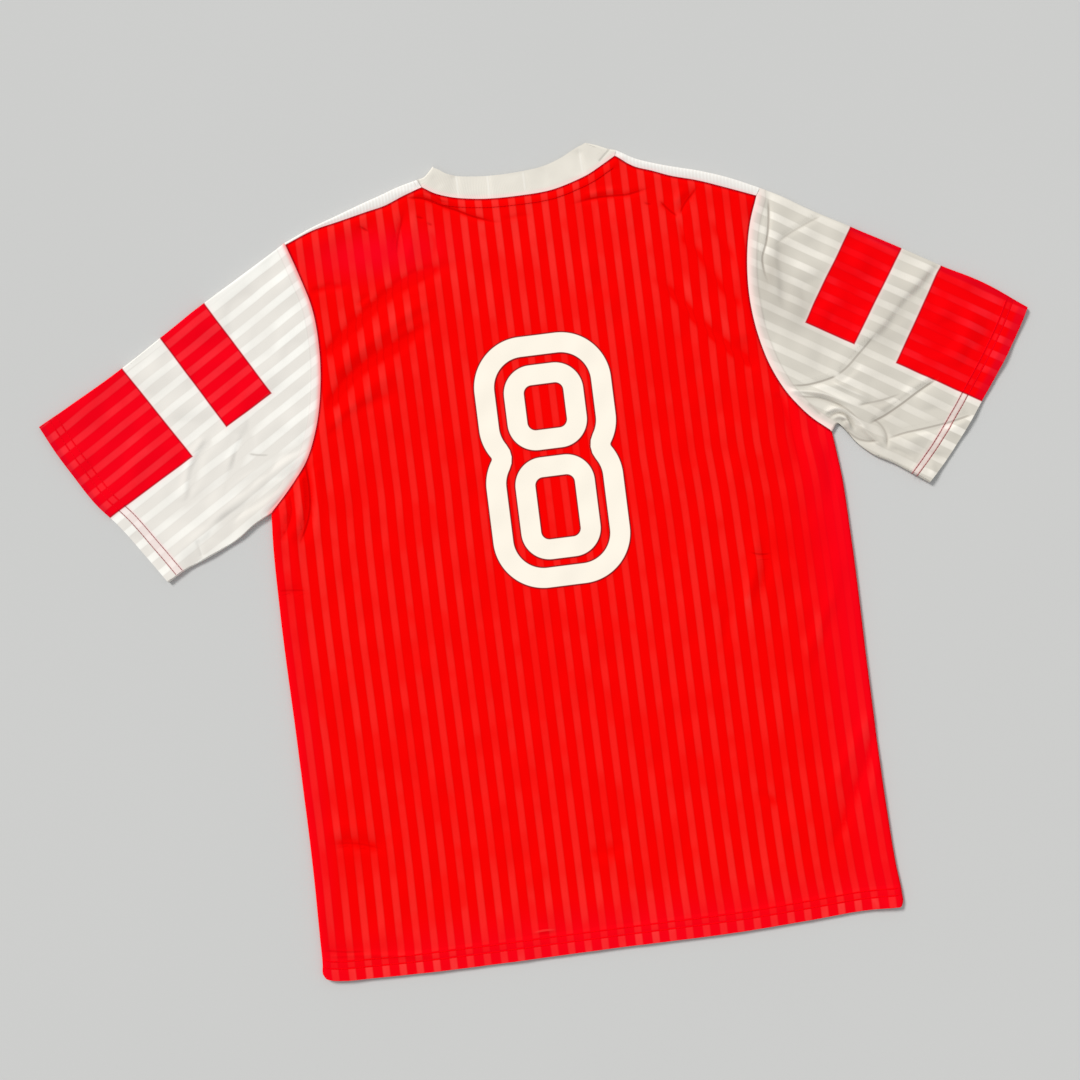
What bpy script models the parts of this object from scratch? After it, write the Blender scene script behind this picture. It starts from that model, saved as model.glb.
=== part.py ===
"""Football jersey laid flat on its front, with its back up.

Seven cut and sewn pieces, in metres with +Z up.  The front lies on the floor.  The back lies on
it and rolls down round both side seams.  Two shoulder pieces fold over the shoulder line, the
sleeves are flattened tubes, and the rib neckband is a flattened ring.  Places are measured from
the middle of the hem: "across" runs along +X, "up" runs along +Y to the neck, and "out" is the
distance from the middle line on either side.  Left and right are the wearer's.
"""
import math
from typing import NamedTuple

import bmesh
import bpy
import numpy as np

# Cloth and seams
CLOTH = 0.0012
SEAM = 0.0003
FLOOR_MID = CLOTH / 2
TOP_MID = CLOTH + SEAM + CLOTH / 2
EDGE_LIFT = 0.0012
EDGE_REACH = 0.022

# Number of steps along each edge
SIDE_STEPS = 18
ARMHOLE_STEPS = 16
YOKE_STEPS = 2
SHOULDER_STEPS = 6
NECK_STEPS = 9
YOKE_NECK_STEPS = 3
SLEEVE_STEPS = 15
BAND_STEPS = 2
ROLL_STEPS = 4
OUTLINE_STEPS = 80

# Front of the neck, the depth of the shoulder pieces on the front, and the front's hem
FRONT_NECK_UP = 0.690
YOKE_DEPTH = 0.045
BAND_WIDTH = 0.0235
FRONT_HEM_SHORT = 0.0015

LEFT, RIGHT = "left", "right"
SIGN = {LEFT: -1.0, RIGHT: 1.0}


class Side(NamedTuple):
    """How far out both side edges are, at one height above the hem."""
    up: float
    left: float
    right: float


class At(NamedTuple):
    """One place on an edge."""
    out: float
    up: float


class Section(NamedTuple):
    """One section across a sleeve, from its underside to its top fold."""
    top_out: float
    top_up: float
    under_out: float
    under_up: float


class Shoulder(NamedTuple):
    """Seam to the back and fold line of a shoulder piece, at one distance out."""
    out: float
    seam_up: float
    fold_up: float


class Band(NamedTuple):
    """One section across the back of the neckband, from its seam to its free edge."""
    seam_across: float
    seam_up: float
    free_across: float
    free_up: float


class Fold(NamedTuple):
    """A soft ridge in the top layer, from one place to another."""
    from_across: float
    from_up: float
    to_across: float
    to_up: float
    rise: float
    spread: float


# Between the two side seams
HEM = (
    At(-0.270, -0.0045),
    At(-0.200, -0.0058),
    At(0.000, -0.0052),
    At(0.140, -0.0045),
    At(0.200, -0.0018),
    At(0.250, 0.0008),
)

SIDES = (
    Side(0.001, 0.2868, 0.2890),
    Side(0.040, 0.2878, 0.2884),
    Side(0.100, 0.2853, 0.2850),
    Side(0.220, 0.2850, 0.2838),
    Side(0.370, 0.2856, 0.2838),
    Side(0.430, 0.2842, 0.2822),
)

# From the underarm to the end of the shoulder seam
ARMHOLES = {
    LEFT: (
        At(0.2820, 0.463),
        At(0.2610, 0.485),
        At(0.2410, 0.510),
        At(0.2270, 0.542),
        At(0.2180, 0.580),
        At(0.2144, 0.616),
        At(0.2165, 0.660),
        At(0.2255, 0.695),
        At(0.2345, 0.7245),
    ),
    RIGHT: (
        At(0.2780, 0.474),
        At(0.2580, 0.492),
        At(0.2400, 0.5155),
        At(0.2260, 0.5445),
        At(0.2175, 0.5765),
        At(0.2136, 0.612),
        At(0.2160, 0.655),
        At(0.2225, 0.687),
        At(0.2325, 0.7145),
    ),
}

# From the neck to the armhole
SHOULDERS = {
    LEFT: (
        Shoulder(0.0940, 0.7640, 0.7728),
        Shoulder(0.1130, 0.7580, 0.7672),
        Shoulder(0.1330, 0.7505, 0.7608),
        Shoulder(0.1500, 0.7470, 0.7565),
        Shoulder(0.1800, 0.7406, 0.7470),
        Shoulder(0.2050, 0.7355, 0.7392),
        Shoulder(0.2345, 0.7245, 0.7271),
    ),
    RIGHT: (
        Shoulder(0.0990, 0.7710, 0.7770),
        Shoulder(0.1170, 0.7580, 0.7660),
        Shoulder(0.1330, 0.7520, 0.7597),
        Shoulder(0.1500, 0.7450, 0.7541),
        Shoulder(0.1750, 0.7374, 0.7468),
        Shoulder(0.2050, 0.7258, 0.7355),
        Shoulder(0.2325, 0.7145, 0.7222),
    ),
}

# How far the fold line of each shoulder piece lies outside its seam, at the neck and the armhole
FOLD_OUT_AT_NECK = {LEFT: 0.0040, RIGHT: 0.0020}
FOLD_OUT_AT_ARMHOLE = {LEFT: 0.0012, RIGHT: 0.0045}

# From the left neck point to the right one
BACK_BAND = (
    Band(-0.0940, 0.7640, -0.0765, 0.7800),
    Band(-0.0830, 0.7570, -0.0700, 0.7755),
    Band(-0.0670, 0.7510, -0.0580, 0.7710),
    Band(-0.0450, 0.7465, -0.0410, 0.7685),
    Band(0.0000, 0.7440, 0.0000, 0.7675),
    Band(0.0350, 0.7460, 0.0330, 0.7715),
    Band(0.0550, 0.7510, 0.0480, 0.7770),
    Band(0.0700, 0.7560, 0.0570, 0.7815),
    Band(0.0850, 0.7635, 0.0670, 0.7855),
    Band(0.0990, 0.7710, 0.0730, 0.7868),
)
BAND_PEAKS = {LEFT: (-0.0820, 0.7830), RIGHT: (0.0750, 0.7870)}

# From just past the armhole to the cuff
SLEEVES = {
    LEFT: (
        Section(0.2810, 0.7008, 0.3010, 0.4534),
        Section(0.3234, 0.6772, 0.3168, 0.4422),
        Section(0.3665, 0.6510, 0.3350, 0.4335),
        Section(0.4094, 0.6248, 0.3540, 0.4255),
        Section(0.4539, 0.6003, 0.3733, 0.4180),
        Section(0.4990, 0.5770, 0.3910, 0.4080),
    ),
    RIGHT: (
        Section(0.2530, 0.7138, 0.2835, 0.4808),
        Section(0.2795, 0.6972, 0.2906, 0.4760),
        Section(0.3203, 0.6735, 0.3015, 0.4598),
        Section(0.3620, 0.6495, 0.3162, 0.4460),
        Section(0.4039, 0.6244, 0.3337, 0.4360),
        Section(0.4467, 0.6005, 0.3504, 0.4242),
        Section(0.4850, 0.5720, 0.3670, 0.4120),
    ),
}

# From the underside to the top fold
CUFFS = {
    LEFT: (
        At(0.3910, 0.4080),
        At(0.4125, 0.4400),
        At(0.4315, 0.4680),
        At(0.4530, 0.4940),
        At(0.4712, 0.5240),
        At(0.4868, 0.5520),
        At(0.4990, 0.5770),
    ),
    RIGHT: (
        At(0.3670, 0.4120),
        At(0.3815, 0.4265),
        At(0.4018, 0.4500),
        At(0.4290, 0.4860),
        At(0.4550, 0.5220),
        At(0.4742, 0.5520),
        At(0.4850, 0.5720),
    ),
}

FOLDS = (
    # Drag lines of the back, from both armholes towards the neck
    Fold(-0.200, 0.588, -0.095, 0.655, 0.0016, 0.016),
    Fold(-0.205, 0.545, -0.110, 0.605, 0.0014, 0.014),
    Fold(-0.200, 0.650, -0.120, 0.700, 0.0012, 0.016),
    Fold(0.150, 0.690, 0.205, 0.590, 0.0014, 0.015),
    Fold(0.120, 0.650, 0.200, 0.545, 0.0016, 0.015),
    # Soft waves of the lower back
    Fold(-0.262, 0.120, -0.190, 0.150, 0.0016, 0.018),
    Fold(-0.240, 0.390, -0.265, 0.300, 0.0012, 0.015),
    Fold(-0.254, 0.500, -0.262, 0.440, 0.0014, 0.012),
    Fold(0.150, 0.300, 0.200, 0.380, 0.0016, 0.016),
    Fold(0.262, 0.330, 0.215, 0.235, 0.0018, 0.016),
    Fold(0.270, 0.190, 0.225, 0.060, 0.0018, 0.016),
    Fold(0.060, 0.250, -0.080, 0.190, 0.0008, 0.030),
    # Right sleeve
    Fold(0.280, 0.493, 0.294, 0.485, 0.0050, 0.010),
    Fold(0.250, 0.508, 0.305, 0.505, 0.0026, 0.011),
    Fold(0.305, 0.488, 0.375, 0.508, 0.0026, 0.011),
    Fold(0.262, 0.650, 0.262, 0.590, 0.0016, 0.012),
    Fold(0.300, 0.640, 0.370, 0.560, 0.0015, 0.016),
    Fold(0.335, 0.450, 0.395, 0.455, 0.0020, 0.012),
    # Left sleeve
    Fold(-0.262, 0.498, -0.372, 0.440, 0.0020, 0.012),
    Fold(-0.300, 0.545, -0.340, 0.492, 0.0014, 0.012),
    Fold(-0.380, 0.600, -0.420, 0.520, 0.0010, 0.018),
)

# Colours, roughness and metallic value of each finish
FINISHES = {
    "knit_red": ((0.78, 0.004, 0.012, 1.0), 0.72, 0.0),
    "knit_white": ((0.78, 0.77, 0.75, 1.0), 0.72, 0.0),
    "rib_white": ((0.80, 0.79, 0.77, 1.0), 0.80, 0.0),
}


def unit(vectors):
    """Scale vectors to a length of one."""
    return vectors / np.linalg.norm(vectors, axis=-1, keepdims=True)


def spread(places, steps):
    """Points at even steps along a smooth curve through the given places."""
    places = np.asarray(places, dtype=float)
    lengths = np.linalg.norm(np.diff(places, axis=0), axis=1)
    knots = np.concatenate(([0.0], np.cumsum(lengths)))
    slopes = np.gradient(places, knots, axis=0)
    wanted = np.linspace(0.0, knots[-1], steps + 1)
    span = np.clip(np.searchsorted(knots, wanted, side="right") - 1, 0, len(lengths) - 1)
    length = lengths[span][:, None]
    part = (wanted - knots[span])[:, None] / length
    rest = 1.0 - part
    from_start = places[span] * (1.0 + 2.0 * part) + slopes[span] * length * part
    from_end = places[span + 1] * (1.0 + 2.0 * rest) - slopes[span + 1] * length * rest
    return from_start * rest ** 2 + from_end * part ** 2


def beside(places, distance):
    """Move a curve sideways, to the left of its own direction."""
    ahead = unit(np.gradient(places, axis=0))
    return places + distance * np.stack((-ahead[:, 1], ahead[:, 0]), axis=1)


def patch(first, last, start, end):
    """Fill four edges with rows of points: first and last are rows, start and end columns."""
    row = np.linspace(0.0, 1.0, len(start))[:, None, None]
    column = np.linspace(0.0, 1.0, len(first))[None, :, None]
    between_rows = (1.0 - row) * first[None] + row * last[None]
    between_columns = (1.0 - column) * start[:, None] + column * end[:, None]
    first_line = (1.0 - column) * first[0] + column * first[-1]
    last_line = (1.0 - column) * last[0] + column * last[-1]
    return between_rows + between_columns - (1.0 - row) * first_line - row * last_line


def mirrored(rows, side):
    """Places of a table in plan, on the wearer's left or right."""
    return np.array([(SIGN[side] * row.out, row.up) for row in rows])


# ----------------------------------------------------------------------------------------------
# Edges that two pieces share, in plan
# ----------------------------------------------------------------------------------------------

def side_edge(side):
    """Outline of one side of the body, from the hem to the underarm."""
    places = [(SIGN[side] * getattr(row, side), row.up) for row in SIDES]
    places.append(mirrored(ARMHOLES[side], side)[0])
    return spread(places, SIDE_STEPS)


def armhole(side):
    """Armhole seam from the underarm to the end of the shoulder seam."""
    return spread(mirrored(ARMHOLES[side], side), ARMHOLE_STEPS)


def shoulder_seam(side):
    """Seam between the back and a shoulder piece, from the neck to the armhole."""
    places = [(SIGN[side] * row.out, row.seam_up) for row in SHOULDERS[side]]
    return spread(places, SHOULDER_STEPS)


def shoulder_fold(side):
    """Fold line of a shoulder piece, the outline of the garment there."""
    rows = SHOULDERS[side]
    shift = np.linspace(FOLD_OUT_AT_NECK[side], FOLD_OUT_AT_ARMHOLE[side], len(rows))
    places = [(SIGN[side] * (row.out + out), row.fold_up) for row, out in zip(rows, shift)]
    return spread(places, SHOULDER_STEPS)


def sleeve_edges(side, steps):
    """Top fold and underside of a sleeve, from the armhole to the cuff."""
    sign = SIGN[side]
    rows = [(*shoulder_fold(side)[-1], *armhole(side)[0])]
    for row in SLEEVES[side]:
        rows.append((sign * row.top_out, row.top_up, sign * row.under_out, row.under_up))
    edges = spread(rows, steps)
    return edges[:, :2], edges[:, 2:]


def band_fold(side, steps):
    """Fold line of the neckband, from its seam to its peak."""
    places = np.array([shoulder_fold(side)[0], BAND_PEAKS[side]])
    return spread(places, steps)


def front_neckline(across):
    """Height of the front neckline, a bowl between the two neckband folds."""
    edges = {side: shoulder_fold(side)[0] for side in SIGN}
    left_of_middle = across < 0.0
    reach = np.where(left_of_middle, edges[LEFT][0], edges[RIGHT][0])
    rim = np.where(left_of_middle, edges[LEFT][1], edges[RIGHT][1])
    return FRONT_NECK_UP + (rim - FRONT_NECK_UP) * (across / reach) ** 2


def folded_outline():
    """Points along every folded edge, where the cloth springs up a little."""
    edges = []
    for side in SIGN:
        edges.append(side_edge(side))
        edges.append(shoulder_fold(side))
        edges.append(band_fold(side, BAND_STEPS))
        edges.extend(sleeve_edges(side, SLEEVE_STEPS))
    return np.concatenate([spread(edge, OUTLINE_STEPS) for edge in edges])


OUTLINE = folded_outline()


# ----------------------------------------------------------------------------------------------
# Layers of cloth
# ----------------------------------------------------------------------------------------------

def ridge(places, fold):
    """Height of one fold above the layer, highest along its line."""
    start = np.array((fold.from_across, fold.from_up))
    run = np.array((fold.to_across, fold.to_up)) - start
    part = np.clip((places - start) @ run / (run @ run), 0.0, 1.0)
    gap = np.linalg.norm(places - start - part[..., None] * run, axis=-1)
    return fold.rise * np.exp(-(gap / fold.spread) ** 2)


def top_height(places):
    """Middle of the top layer's wall: its folds, and its spring next to folded edges."""
    gaps = np.linalg.norm(places[..., None, :] - OUTLINE, axis=-1).min(axis=-1)
    height = TOP_MID + EDGE_LIFT * np.exp(-(gaps / EDGE_REACH) ** 2)
    for fold in FOLDS:
        height = height + ridge(places, fold)
    return height


def layer(places, height, facing):
    """Middle and outward direction of a wall that lies flat."""
    heights = np.broadcast_to(height, places.shape[:-1])[..., None]
    outward = np.broadcast_to((0.0, 0.0, facing), (*places.shape[:-1], 3))
    return np.concatenate((places, heights, outward), axis=-1)


def top_layer(places):
    """Wall of the top layer, facing up."""
    return layer(places, top_height(places), 1.0)


def floor_layer(places):
    """Wall of the floor layer, facing down."""
    return layer(places, FLOOR_MID, -1.0)


def roll_centres(edge, outward):
    """Centres and radii of a roll whose outer side reaches the edge."""
    centres = edge
    for _ in range(3):
        radii = (top_height(centres) - FLOOR_MID) / 2
        centres = edge - outward * (radii + CLOTH / 2)[:, None]
    return centres, radii


def roll(centres, radii, outward):
    """Wall that turns over from the top layer to the floor layer, without its two ends."""
    angles = np.linspace(math.pi / 2, -math.pi / 2, ROLL_STEPS + 1)[1:-1]
    level = np.cos(angles)[None, :, None] * outward[:, None, :]
    rise = np.broadcast_to(np.sin(angles)[None, :, None], (*level.shape[:2], 1))
    facing = np.concatenate((level, rise), axis=-1)
    axis = np.concatenate((centres, (FLOOR_MID + radii)[:, None]), axis=-1)
    middle = axis[:, None, :] + radii[:, None, None] * facing
    return np.concatenate((middle, facing), axis=-1)


# ----------------------------------------------------------------------------------------------
# Solids
# ----------------------------------------------------------------------------------------------

def wall_faces(count, kept, ring):
    """Corner numbers of a wall's faces: its outside, its inside and its cut edges."""
    rows, columns = kept.shape
    outside = []
    for row in range(rows if ring else rows - 1):
        below = (row + 1) % rows
        for column in range(columns - 1):
            corners = ((row, column), (below, column), (below, column + 1), (row, column + 1))
            if all(kept[corner] for corner in corners):
                outside.append([at[0] * columns + at[1] for at in corners])
    inside = [[count + corner for corner in reversed(face)] for face in outside]
    edges = {(face[i - 1], face[i]) for face in outside for i in range(4)}
    cut = [[b, a, a + count, b + count] for a, b in sorted(edges) if (b, a) not in edges]
    return outside + inside + cut


def wall(name, sheet, finish, kept=None, ring=False):
    """Closed solid of one wall thickness, from rows of middles and outward directions."""
    if kept is None:
        kept = np.ones(sheet.shape[:2], dtype=bool)
    middle = sheet[..., :3].reshape(-1, 3)
    outward = sheet[..., 3:].reshape(-1, 3)
    corners = np.concatenate((middle + outward * CLOTH / 2, middle - outward * CLOTH / 2))
    mesh = bpy.data.meshes.new(name)
    mesh.from_pydata(corners.tolist(), [], wall_faces(len(middle), kept, ring))
    shell = bmesh.new()
    shell.from_mesh(mesh)
    loose = [vertex for vertex in shell.verts if not vertex.link_faces]
    bmesh.ops.delete(shell, geom=loose, context="VERTS")
    return placed(name, mesh, shell, finish)


def slab(name, outline, finish):
    """Closed solid of one wall thickness that lies flat on the floor."""
    mesh = bpy.data.meshes.new(name)
    shell = bmesh.new()
    corners = [shell.verts.new((across, up, 0.0)) for across, up in outline]
    base = shell.faces.new(corners)
    raised = bmesh.ops.extrude_face_region(shell, geom=[base])["geom"]
    lifted = [item for item in raised if isinstance(item, bmesh.types.BMVert)]
    bmesh.ops.translate(shell, verts=lifted, vec=(0.0, 0.0, CLOTH))
    return placed(name, mesh, shell, finish)


def placed(name, mesh, shell, finish):
    """Turn a finished shell into an object of its own with its material."""
    bmesh.ops.recalc_face_normals(shell, faces=shell.faces)
    shell.to_mesh(mesh)
    shell.free()
    mesh.shade_smooth()
    mesh.set_sharp_from_angle(angle=math.radians(40.0))
    mesh.materials.append(finish)
    piece = bpy.data.objects.new(name, mesh)
    bpy.context.scene.collection.objects.link(piece)
    return piece


def make_finish(name):
    """Principled material of one finish."""
    colour, roughness, metallic = FINISHES[name]
    finish = bpy.data.materials.new(name)
    finish.use_nodes = True
    shader = finish.node_tree.nodes["Principled BSDF"]
    shader.inputs["Base Color"].default_value = colour
    shader.inputs["Roughness"].default_value = roughness
    shader.inputs["Metallic"].default_value = metallic
    finish.diffuse_color = colour
    return finish


# ----------------------------------------------------------------------------------------------
# Shared corners, where a seam crosses a folded edge
# ----------------------------------------------------------------------------------------------

def underarm(side):
    """Centre of the roll at the underarm, and the way that it faces."""
    seam = armhole(side)
    outward = unit(seam[0] - seam[1])[None]
    centre, _ = roll_centres(seam[:1], outward)
    return centre[0], outward[0]


def shoulder_rolls(side):
    """Centres, radii and directions of the roll along a shoulder piece's fold line."""
    fold = shoulder_fold(side)
    outward = unit(fold - shoulder_seam(side))
    return *roll_centres(fold, outward), outward


def armhole_seam(side):
    """Armhole seam in the top layer, from the underarm roll to the shoulder roll."""
    seam = armhole(side)
    seam[0] = underarm(side)[0]
    return np.concatenate((seam, shoulder_rolls(side)[0][-1:]))


def side_rolls(side):
    """Centres, radii and directions of the roll along one side of the body."""
    edge = side_edge(side)
    outward = np.tile((SIGN[side], 0.0), (len(edge), 1))
    outward[-1] = underarm(side)[1]
    return *roll_centres(edge, outward), outward


def front_neck_seam():
    """Front neckline between the two neckband folds, with a corner at each yoke seam."""
    ends = [shoulder_rolls(side)[0][0] for side in (LEFT, RIGHT)]
    across = np.linspace(ends[0][0], ends[1][0], OUTLINE_STEPS + 1)
    curve = np.stack((across, front_neckline(across)), axis=1)
    curve[0], curve[-1] = ends
    gone = np.concatenate(([0.0], np.cumsum(np.linalg.norm(np.diff(curve, axis=0), axis=1))))
    whole = gone[-1]
    stops = np.concatenate((
        np.linspace(0.0, YOKE_DEPTH, YOKE_NECK_STEPS + 1),
        np.linspace(YOKE_DEPTH, whole - YOKE_DEPTH, NECK_STEPS + 1)[1:-1],
        np.linspace(whole - YOKE_DEPTH, whole, YOKE_NECK_STEPS + 1),
    ))
    return np.stack([np.interp(stops, gone, curve[:, axis]) for axis in range(2)], axis=1)


def yoke_seam(side):
    """Seam between the front and a shoulder piece, from the neck to the armhole."""
    neck = front_neck_seam()
    start = neck[YOKE_NECK_STEPS] if side == LEFT else neck[-1 - YOKE_NECK_STEPS]
    return spread((start, armhole(side)[ARMHOLE_STEPS - YOKE_STEPS]), SHOULDER_STEPS)


# ----------------------------------------------------------------------------------------------
# Pieces
# ----------------------------------------------------------------------------------------------

def hem_edge(left_corner, right_corner, steps):
    """Hem between the two side rolls."""
    return spread([left_corner, *((row.out, row.up) for row in HEM), right_corner], steps)


def back(finish):
    """Back panel: the top layer of the body, rolled down to the floor along both sides."""
    rolls = {side: side_rolls(side) for side in SIGN}
    seams = {side: armhole(side) for side in SIGN}
    left = np.concatenate((rolls[LEFT][0], seams[LEFT][1:]))
    right = np.concatenate((rolls[RIGHT][0], seams[RIGHT][1:]))
    neckline = spread([(row.seam_across, row.seam_up) for row in BACK_BAND], NECK_STEPS)
    top = np.concatenate((
        shoulder_seam(LEFT)[::-1], neckline[1:-1], shoulder_seam(RIGHT)))
    hem = hem_edge(left[0], right[0], len(top) - 1)
    top_sheet = top_layer(patch(hem, top, left, right))
    sheet = np.zeros((len(left), len(top) + 2 * ROLL_STEPS, 6))
    kept = np.zeros(sheet.shape[:2], dtype=bool)
    middle = slice(ROLL_STEPS, ROLL_STEPS + len(top))
    sheet[:, middle] = top_sheet
    kept[:, middle] = True
    rows = SIDE_STEPS + 1
    sheet[:rows, :1] = floor_layer(rolls[LEFT][0])[:, None]
    sheet[:rows, 1:ROLL_STEPS] = roll(*rolls[LEFT])[:, ::-1]
    sheet[:rows, -ROLL_STEPS:-1] = roll(*rolls[RIGHT])
    sheet[:rows, -1:] = floor_layer(rolls[RIGHT][0])[:, None]
    kept[:rows] = True
    return wall("back", sheet, finish, kept=kept)


def front_side(side):
    """Edge of the front from the hem up one side and its armhole to the yoke seam."""
    centres, _, outward = side_rolls(side)
    edge = centres - outward * SEAM
    seam = armhole(side)[1:ARMHOLE_STEPS - YOKE_STEPS + 1]
    seam[-1] += unit(seam[-2] - seam[-1]) * SEAM
    return np.concatenate((edge, seam))


def front(finish):
    """Front panel: flat on the floor, inside the rolls of the back."""
    left, right = front_side(LEFT), front_side(RIGHT)
    hem = hem_edge(left[0], right[0], SHOULDER_STEPS) + (0.0, FRONT_HEM_SHORT)
    neck = front_neck_seam()[YOKE_NECK_STEPS:-YOKE_NECK_STEPS]
    neck[0] += unit(neck[1] - neck[0]) * SEAM
    neck[-1] += unit(neck[-2] - neck[-1]) * SEAM
    left_yoke = beside(yoke_seam(LEFT), SEAM)[1:-1]
    right_yoke = beside(yoke_seam(RIGHT), -SEAM)[1:-1]
    outline = np.concatenate((
        hem[1:-1], right, right_yoke[::-1], neck[::-1], left_yoke, left[::-1]))
    return slab("front", outline, finish)


def shoulder(side, finish):
    """Shoulder piece: from the back's seam over the fold line to the yoke seam on the front."""
    centres, radii, outward = shoulder_rolls(side)
    seam = shoulder_seam(side) + outward * SEAM
    neck = front_neck_seam()
    if side == LEFT:
        neck = neck[:YOKE_NECK_STEPS + 1]
    else:
        neck = neck[::-1][:YOKE_NECK_STEPS + 1]
    sleeve = armhole(side)[::-1][:YOKE_STEPS + 1]
    sleeve = np.concatenate((centres[-1:], sleeve))
    under = patch(neck, sleeve, centres, yoke_seam(side))
    sheet = np.concatenate((
        top_layer(np.stack((seam, centres), axis=1)),
        roll(centres, radii, outward),
        floor_layer(under),
    ), axis=1)
    return wall(f"shoulder_{side}", sheet, finish)


def sleeve(side, finish):
    """Sleeve: a flattened tube from the armhole to the cuff, folded along both edges."""
    top, under = sleeve_edges(side, SLEEVE_STEPS)
    seam = armhole_seam(side)
    guide = seam.copy()
    guide[0], guide[-1] = under[0], top[0]
    end = spread(mirrored(CUFFS[side], side), len(guide) - 1)
    lines = patch(guide, end, under, top)
    under_out = unit(lines[:, 0] - lines[:, 1])
    top_out = unit(lines[:, -1] - lines[:, -2])
    under_out[0] = underarm(side)[1]
    top_out[0] = shoulder_rolls(side)[2][-1]
    shift = beside(seam, SEAM * -SIGN[side]) - seam
    under_at, under_radii = roll_centres(under, under_out)
    top_at, top_radii = roll_centres(top, top_out)
    end[0], end[-1] = under_at[-1], top_at[-1]
    places = patch(seam, end, under_at, top_at)
    places[0] += shift
    under_at, top_at = places[:, 0], places[:, -1]
    sheet = np.concatenate((
        top_layer(places),
        roll(top_at, top_radii, top_out),
        floor_layer(places[:, ::-1]),
        roll(under_at, under_radii, under_out)[:, ::-1],
    ), axis=1)
    return wall(f"sleeve_{side}", np.swapaxes(sheet, 0, 1), finish, ring=True)


def band_rolls(side):
    """Centres, radii and directions of the roll along one fold of the neckband."""
    fold = band_fold(side, BAND_STEPS)
    ahead = unit(fold[-1] - fold[0])
    outward = np.array((-ahead[1], ahead[0])) * -SIGN[side]
    outward = np.tile(outward, (len(fold), 1))
    outward[0] = shoulder_rolls(side)[2][0]
    centres, radii = roll_centres(fold, outward)
    centres[0] += ahead * SEAM
    return centres, radii, outward


def neckband(finish):
    """Rib neckband: a flattened ring, its back on top and its front on the floor."""
    left, right = band_rolls(LEFT), band_rolls(RIGHT)
    back_seam = spread([(row.seam_across, row.seam_up) for row in BACK_BAND], NECK_STEPS)
    back_seam = np.concatenate((left[0][:1], back_seam, right[0][:1]))
    free = [left[0][-1], *((row.free_across, row.free_up) for row in BACK_BAND), right[0][-1]]
    back_free = spread(free, len(back_seam) - 1)
    front_seam = front_neck_seam()
    front_free = spread(beside(front_seam, BAND_WIDTH)[2:-2], len(front_seam) - 1)
    front_free[0], front_free[-1] = left[0][-1], right[0][-1]
    back_seam = beside(back_seam, SEAM)
    front_seam = beside(front_seam, SEAM)
    for seam in (back_seam, front_seam):
        seam[0], seam[-1] = left[0][0], right[0][0]
    back_places = patch(back_seam, back_free, left[0], right[0])
    front_places = patch(front_seam, front_free, left[0], right[0])
    sheet = np.concatenate((
        np.swapaxes(top_layer(back_places), 0, 1),
        np.swapaxes(roll(*right), 0, 1),
        np.swapaxes(floor_layer(front_places), 0, 1)[::-1],
        np.swapaxes(roll(*left), 0, 1)[::-1],
    ))
    return wall("neckband", sheet, finish, ring=True)


def centre_on_floor(pieces):
    """Hang the pieces from an empty so that the garment's middle stands at the origin."""
    corners = np.array([vertex.co for piece in pieces for vertex in piece.data.vertices])
    low, high = corners.min(axis=0), corners.max(axis=0)
    jersey = bpy.data.objects.new("jersey", None)
    jersey.location = (-(low[0] + high[0]) / 2, -(low[1] + high[1]) / 2, -low[2])
    bpy.context.scene.collection.objects.link(jersey)
    for piece in pieces:
        piece.parent = jersey


def clear_scene():
    """Remove every object that the file starts with."""
    for item in list(bpy.data.objects):
        bpy.data.objects.remove(item, do_unlink=True)


def main():
    """Build the jersey."""
    clear_scene()
    finishes = {name: make_finish(name) for name in FINISHES}
    pieces = [front(finishes["knit_red"]), back(finishes["knit_red"])]
    for side in SIGN:
        pieces.append(shoulder(side, finishes["knit_white"]))
        pieces.append(sleeve(side, finishes["knit_white"]))
    pieces.append(neckband(finishes["rib_white"]))
    centre_on_floor(pieces)


main()
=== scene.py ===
"""Finished look of the football jersey, which lies flat on its front with its back up.

Each cut and sewn piece is a fine closed shell that stands for one CAD node.  Places are measured
in a plan of the laid garment, in millimetres in the tables and in metres in the meshes: across
from the middle of the hem, and up towards the neck.  Left and right are the wearer's.
"""

import logging
import math
from dataclasses import dataclass, field
from enum import Enum
from functools import partial
from typing import Any, Callable, Mapping, NamedTuple, Union

import bpy
import numpy as np
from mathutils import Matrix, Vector
from mathutils.kdtree import KDTree


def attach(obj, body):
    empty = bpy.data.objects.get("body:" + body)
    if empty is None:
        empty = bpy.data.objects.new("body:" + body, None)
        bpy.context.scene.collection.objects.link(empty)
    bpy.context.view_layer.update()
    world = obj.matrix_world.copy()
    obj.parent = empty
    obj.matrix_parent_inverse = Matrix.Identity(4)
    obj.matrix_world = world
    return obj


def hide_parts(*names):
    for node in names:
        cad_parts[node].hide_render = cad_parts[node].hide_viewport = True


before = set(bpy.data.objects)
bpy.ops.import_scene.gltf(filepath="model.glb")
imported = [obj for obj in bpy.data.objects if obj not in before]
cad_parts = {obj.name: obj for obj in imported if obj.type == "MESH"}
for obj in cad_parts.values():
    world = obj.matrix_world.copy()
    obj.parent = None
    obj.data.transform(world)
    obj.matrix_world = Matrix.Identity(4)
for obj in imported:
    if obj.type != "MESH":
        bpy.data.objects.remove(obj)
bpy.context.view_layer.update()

LOG = logging.getLogger("jersey")
MM = 0.001
BODY = "root"
# Where the middle of the hem lies in the row's frame
HEM_MIDDLE = (0.0070, -0.3898277)
# Width of the seam allowance that shows through the sleeves
ALLOWANCE = 0.0098

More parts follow.
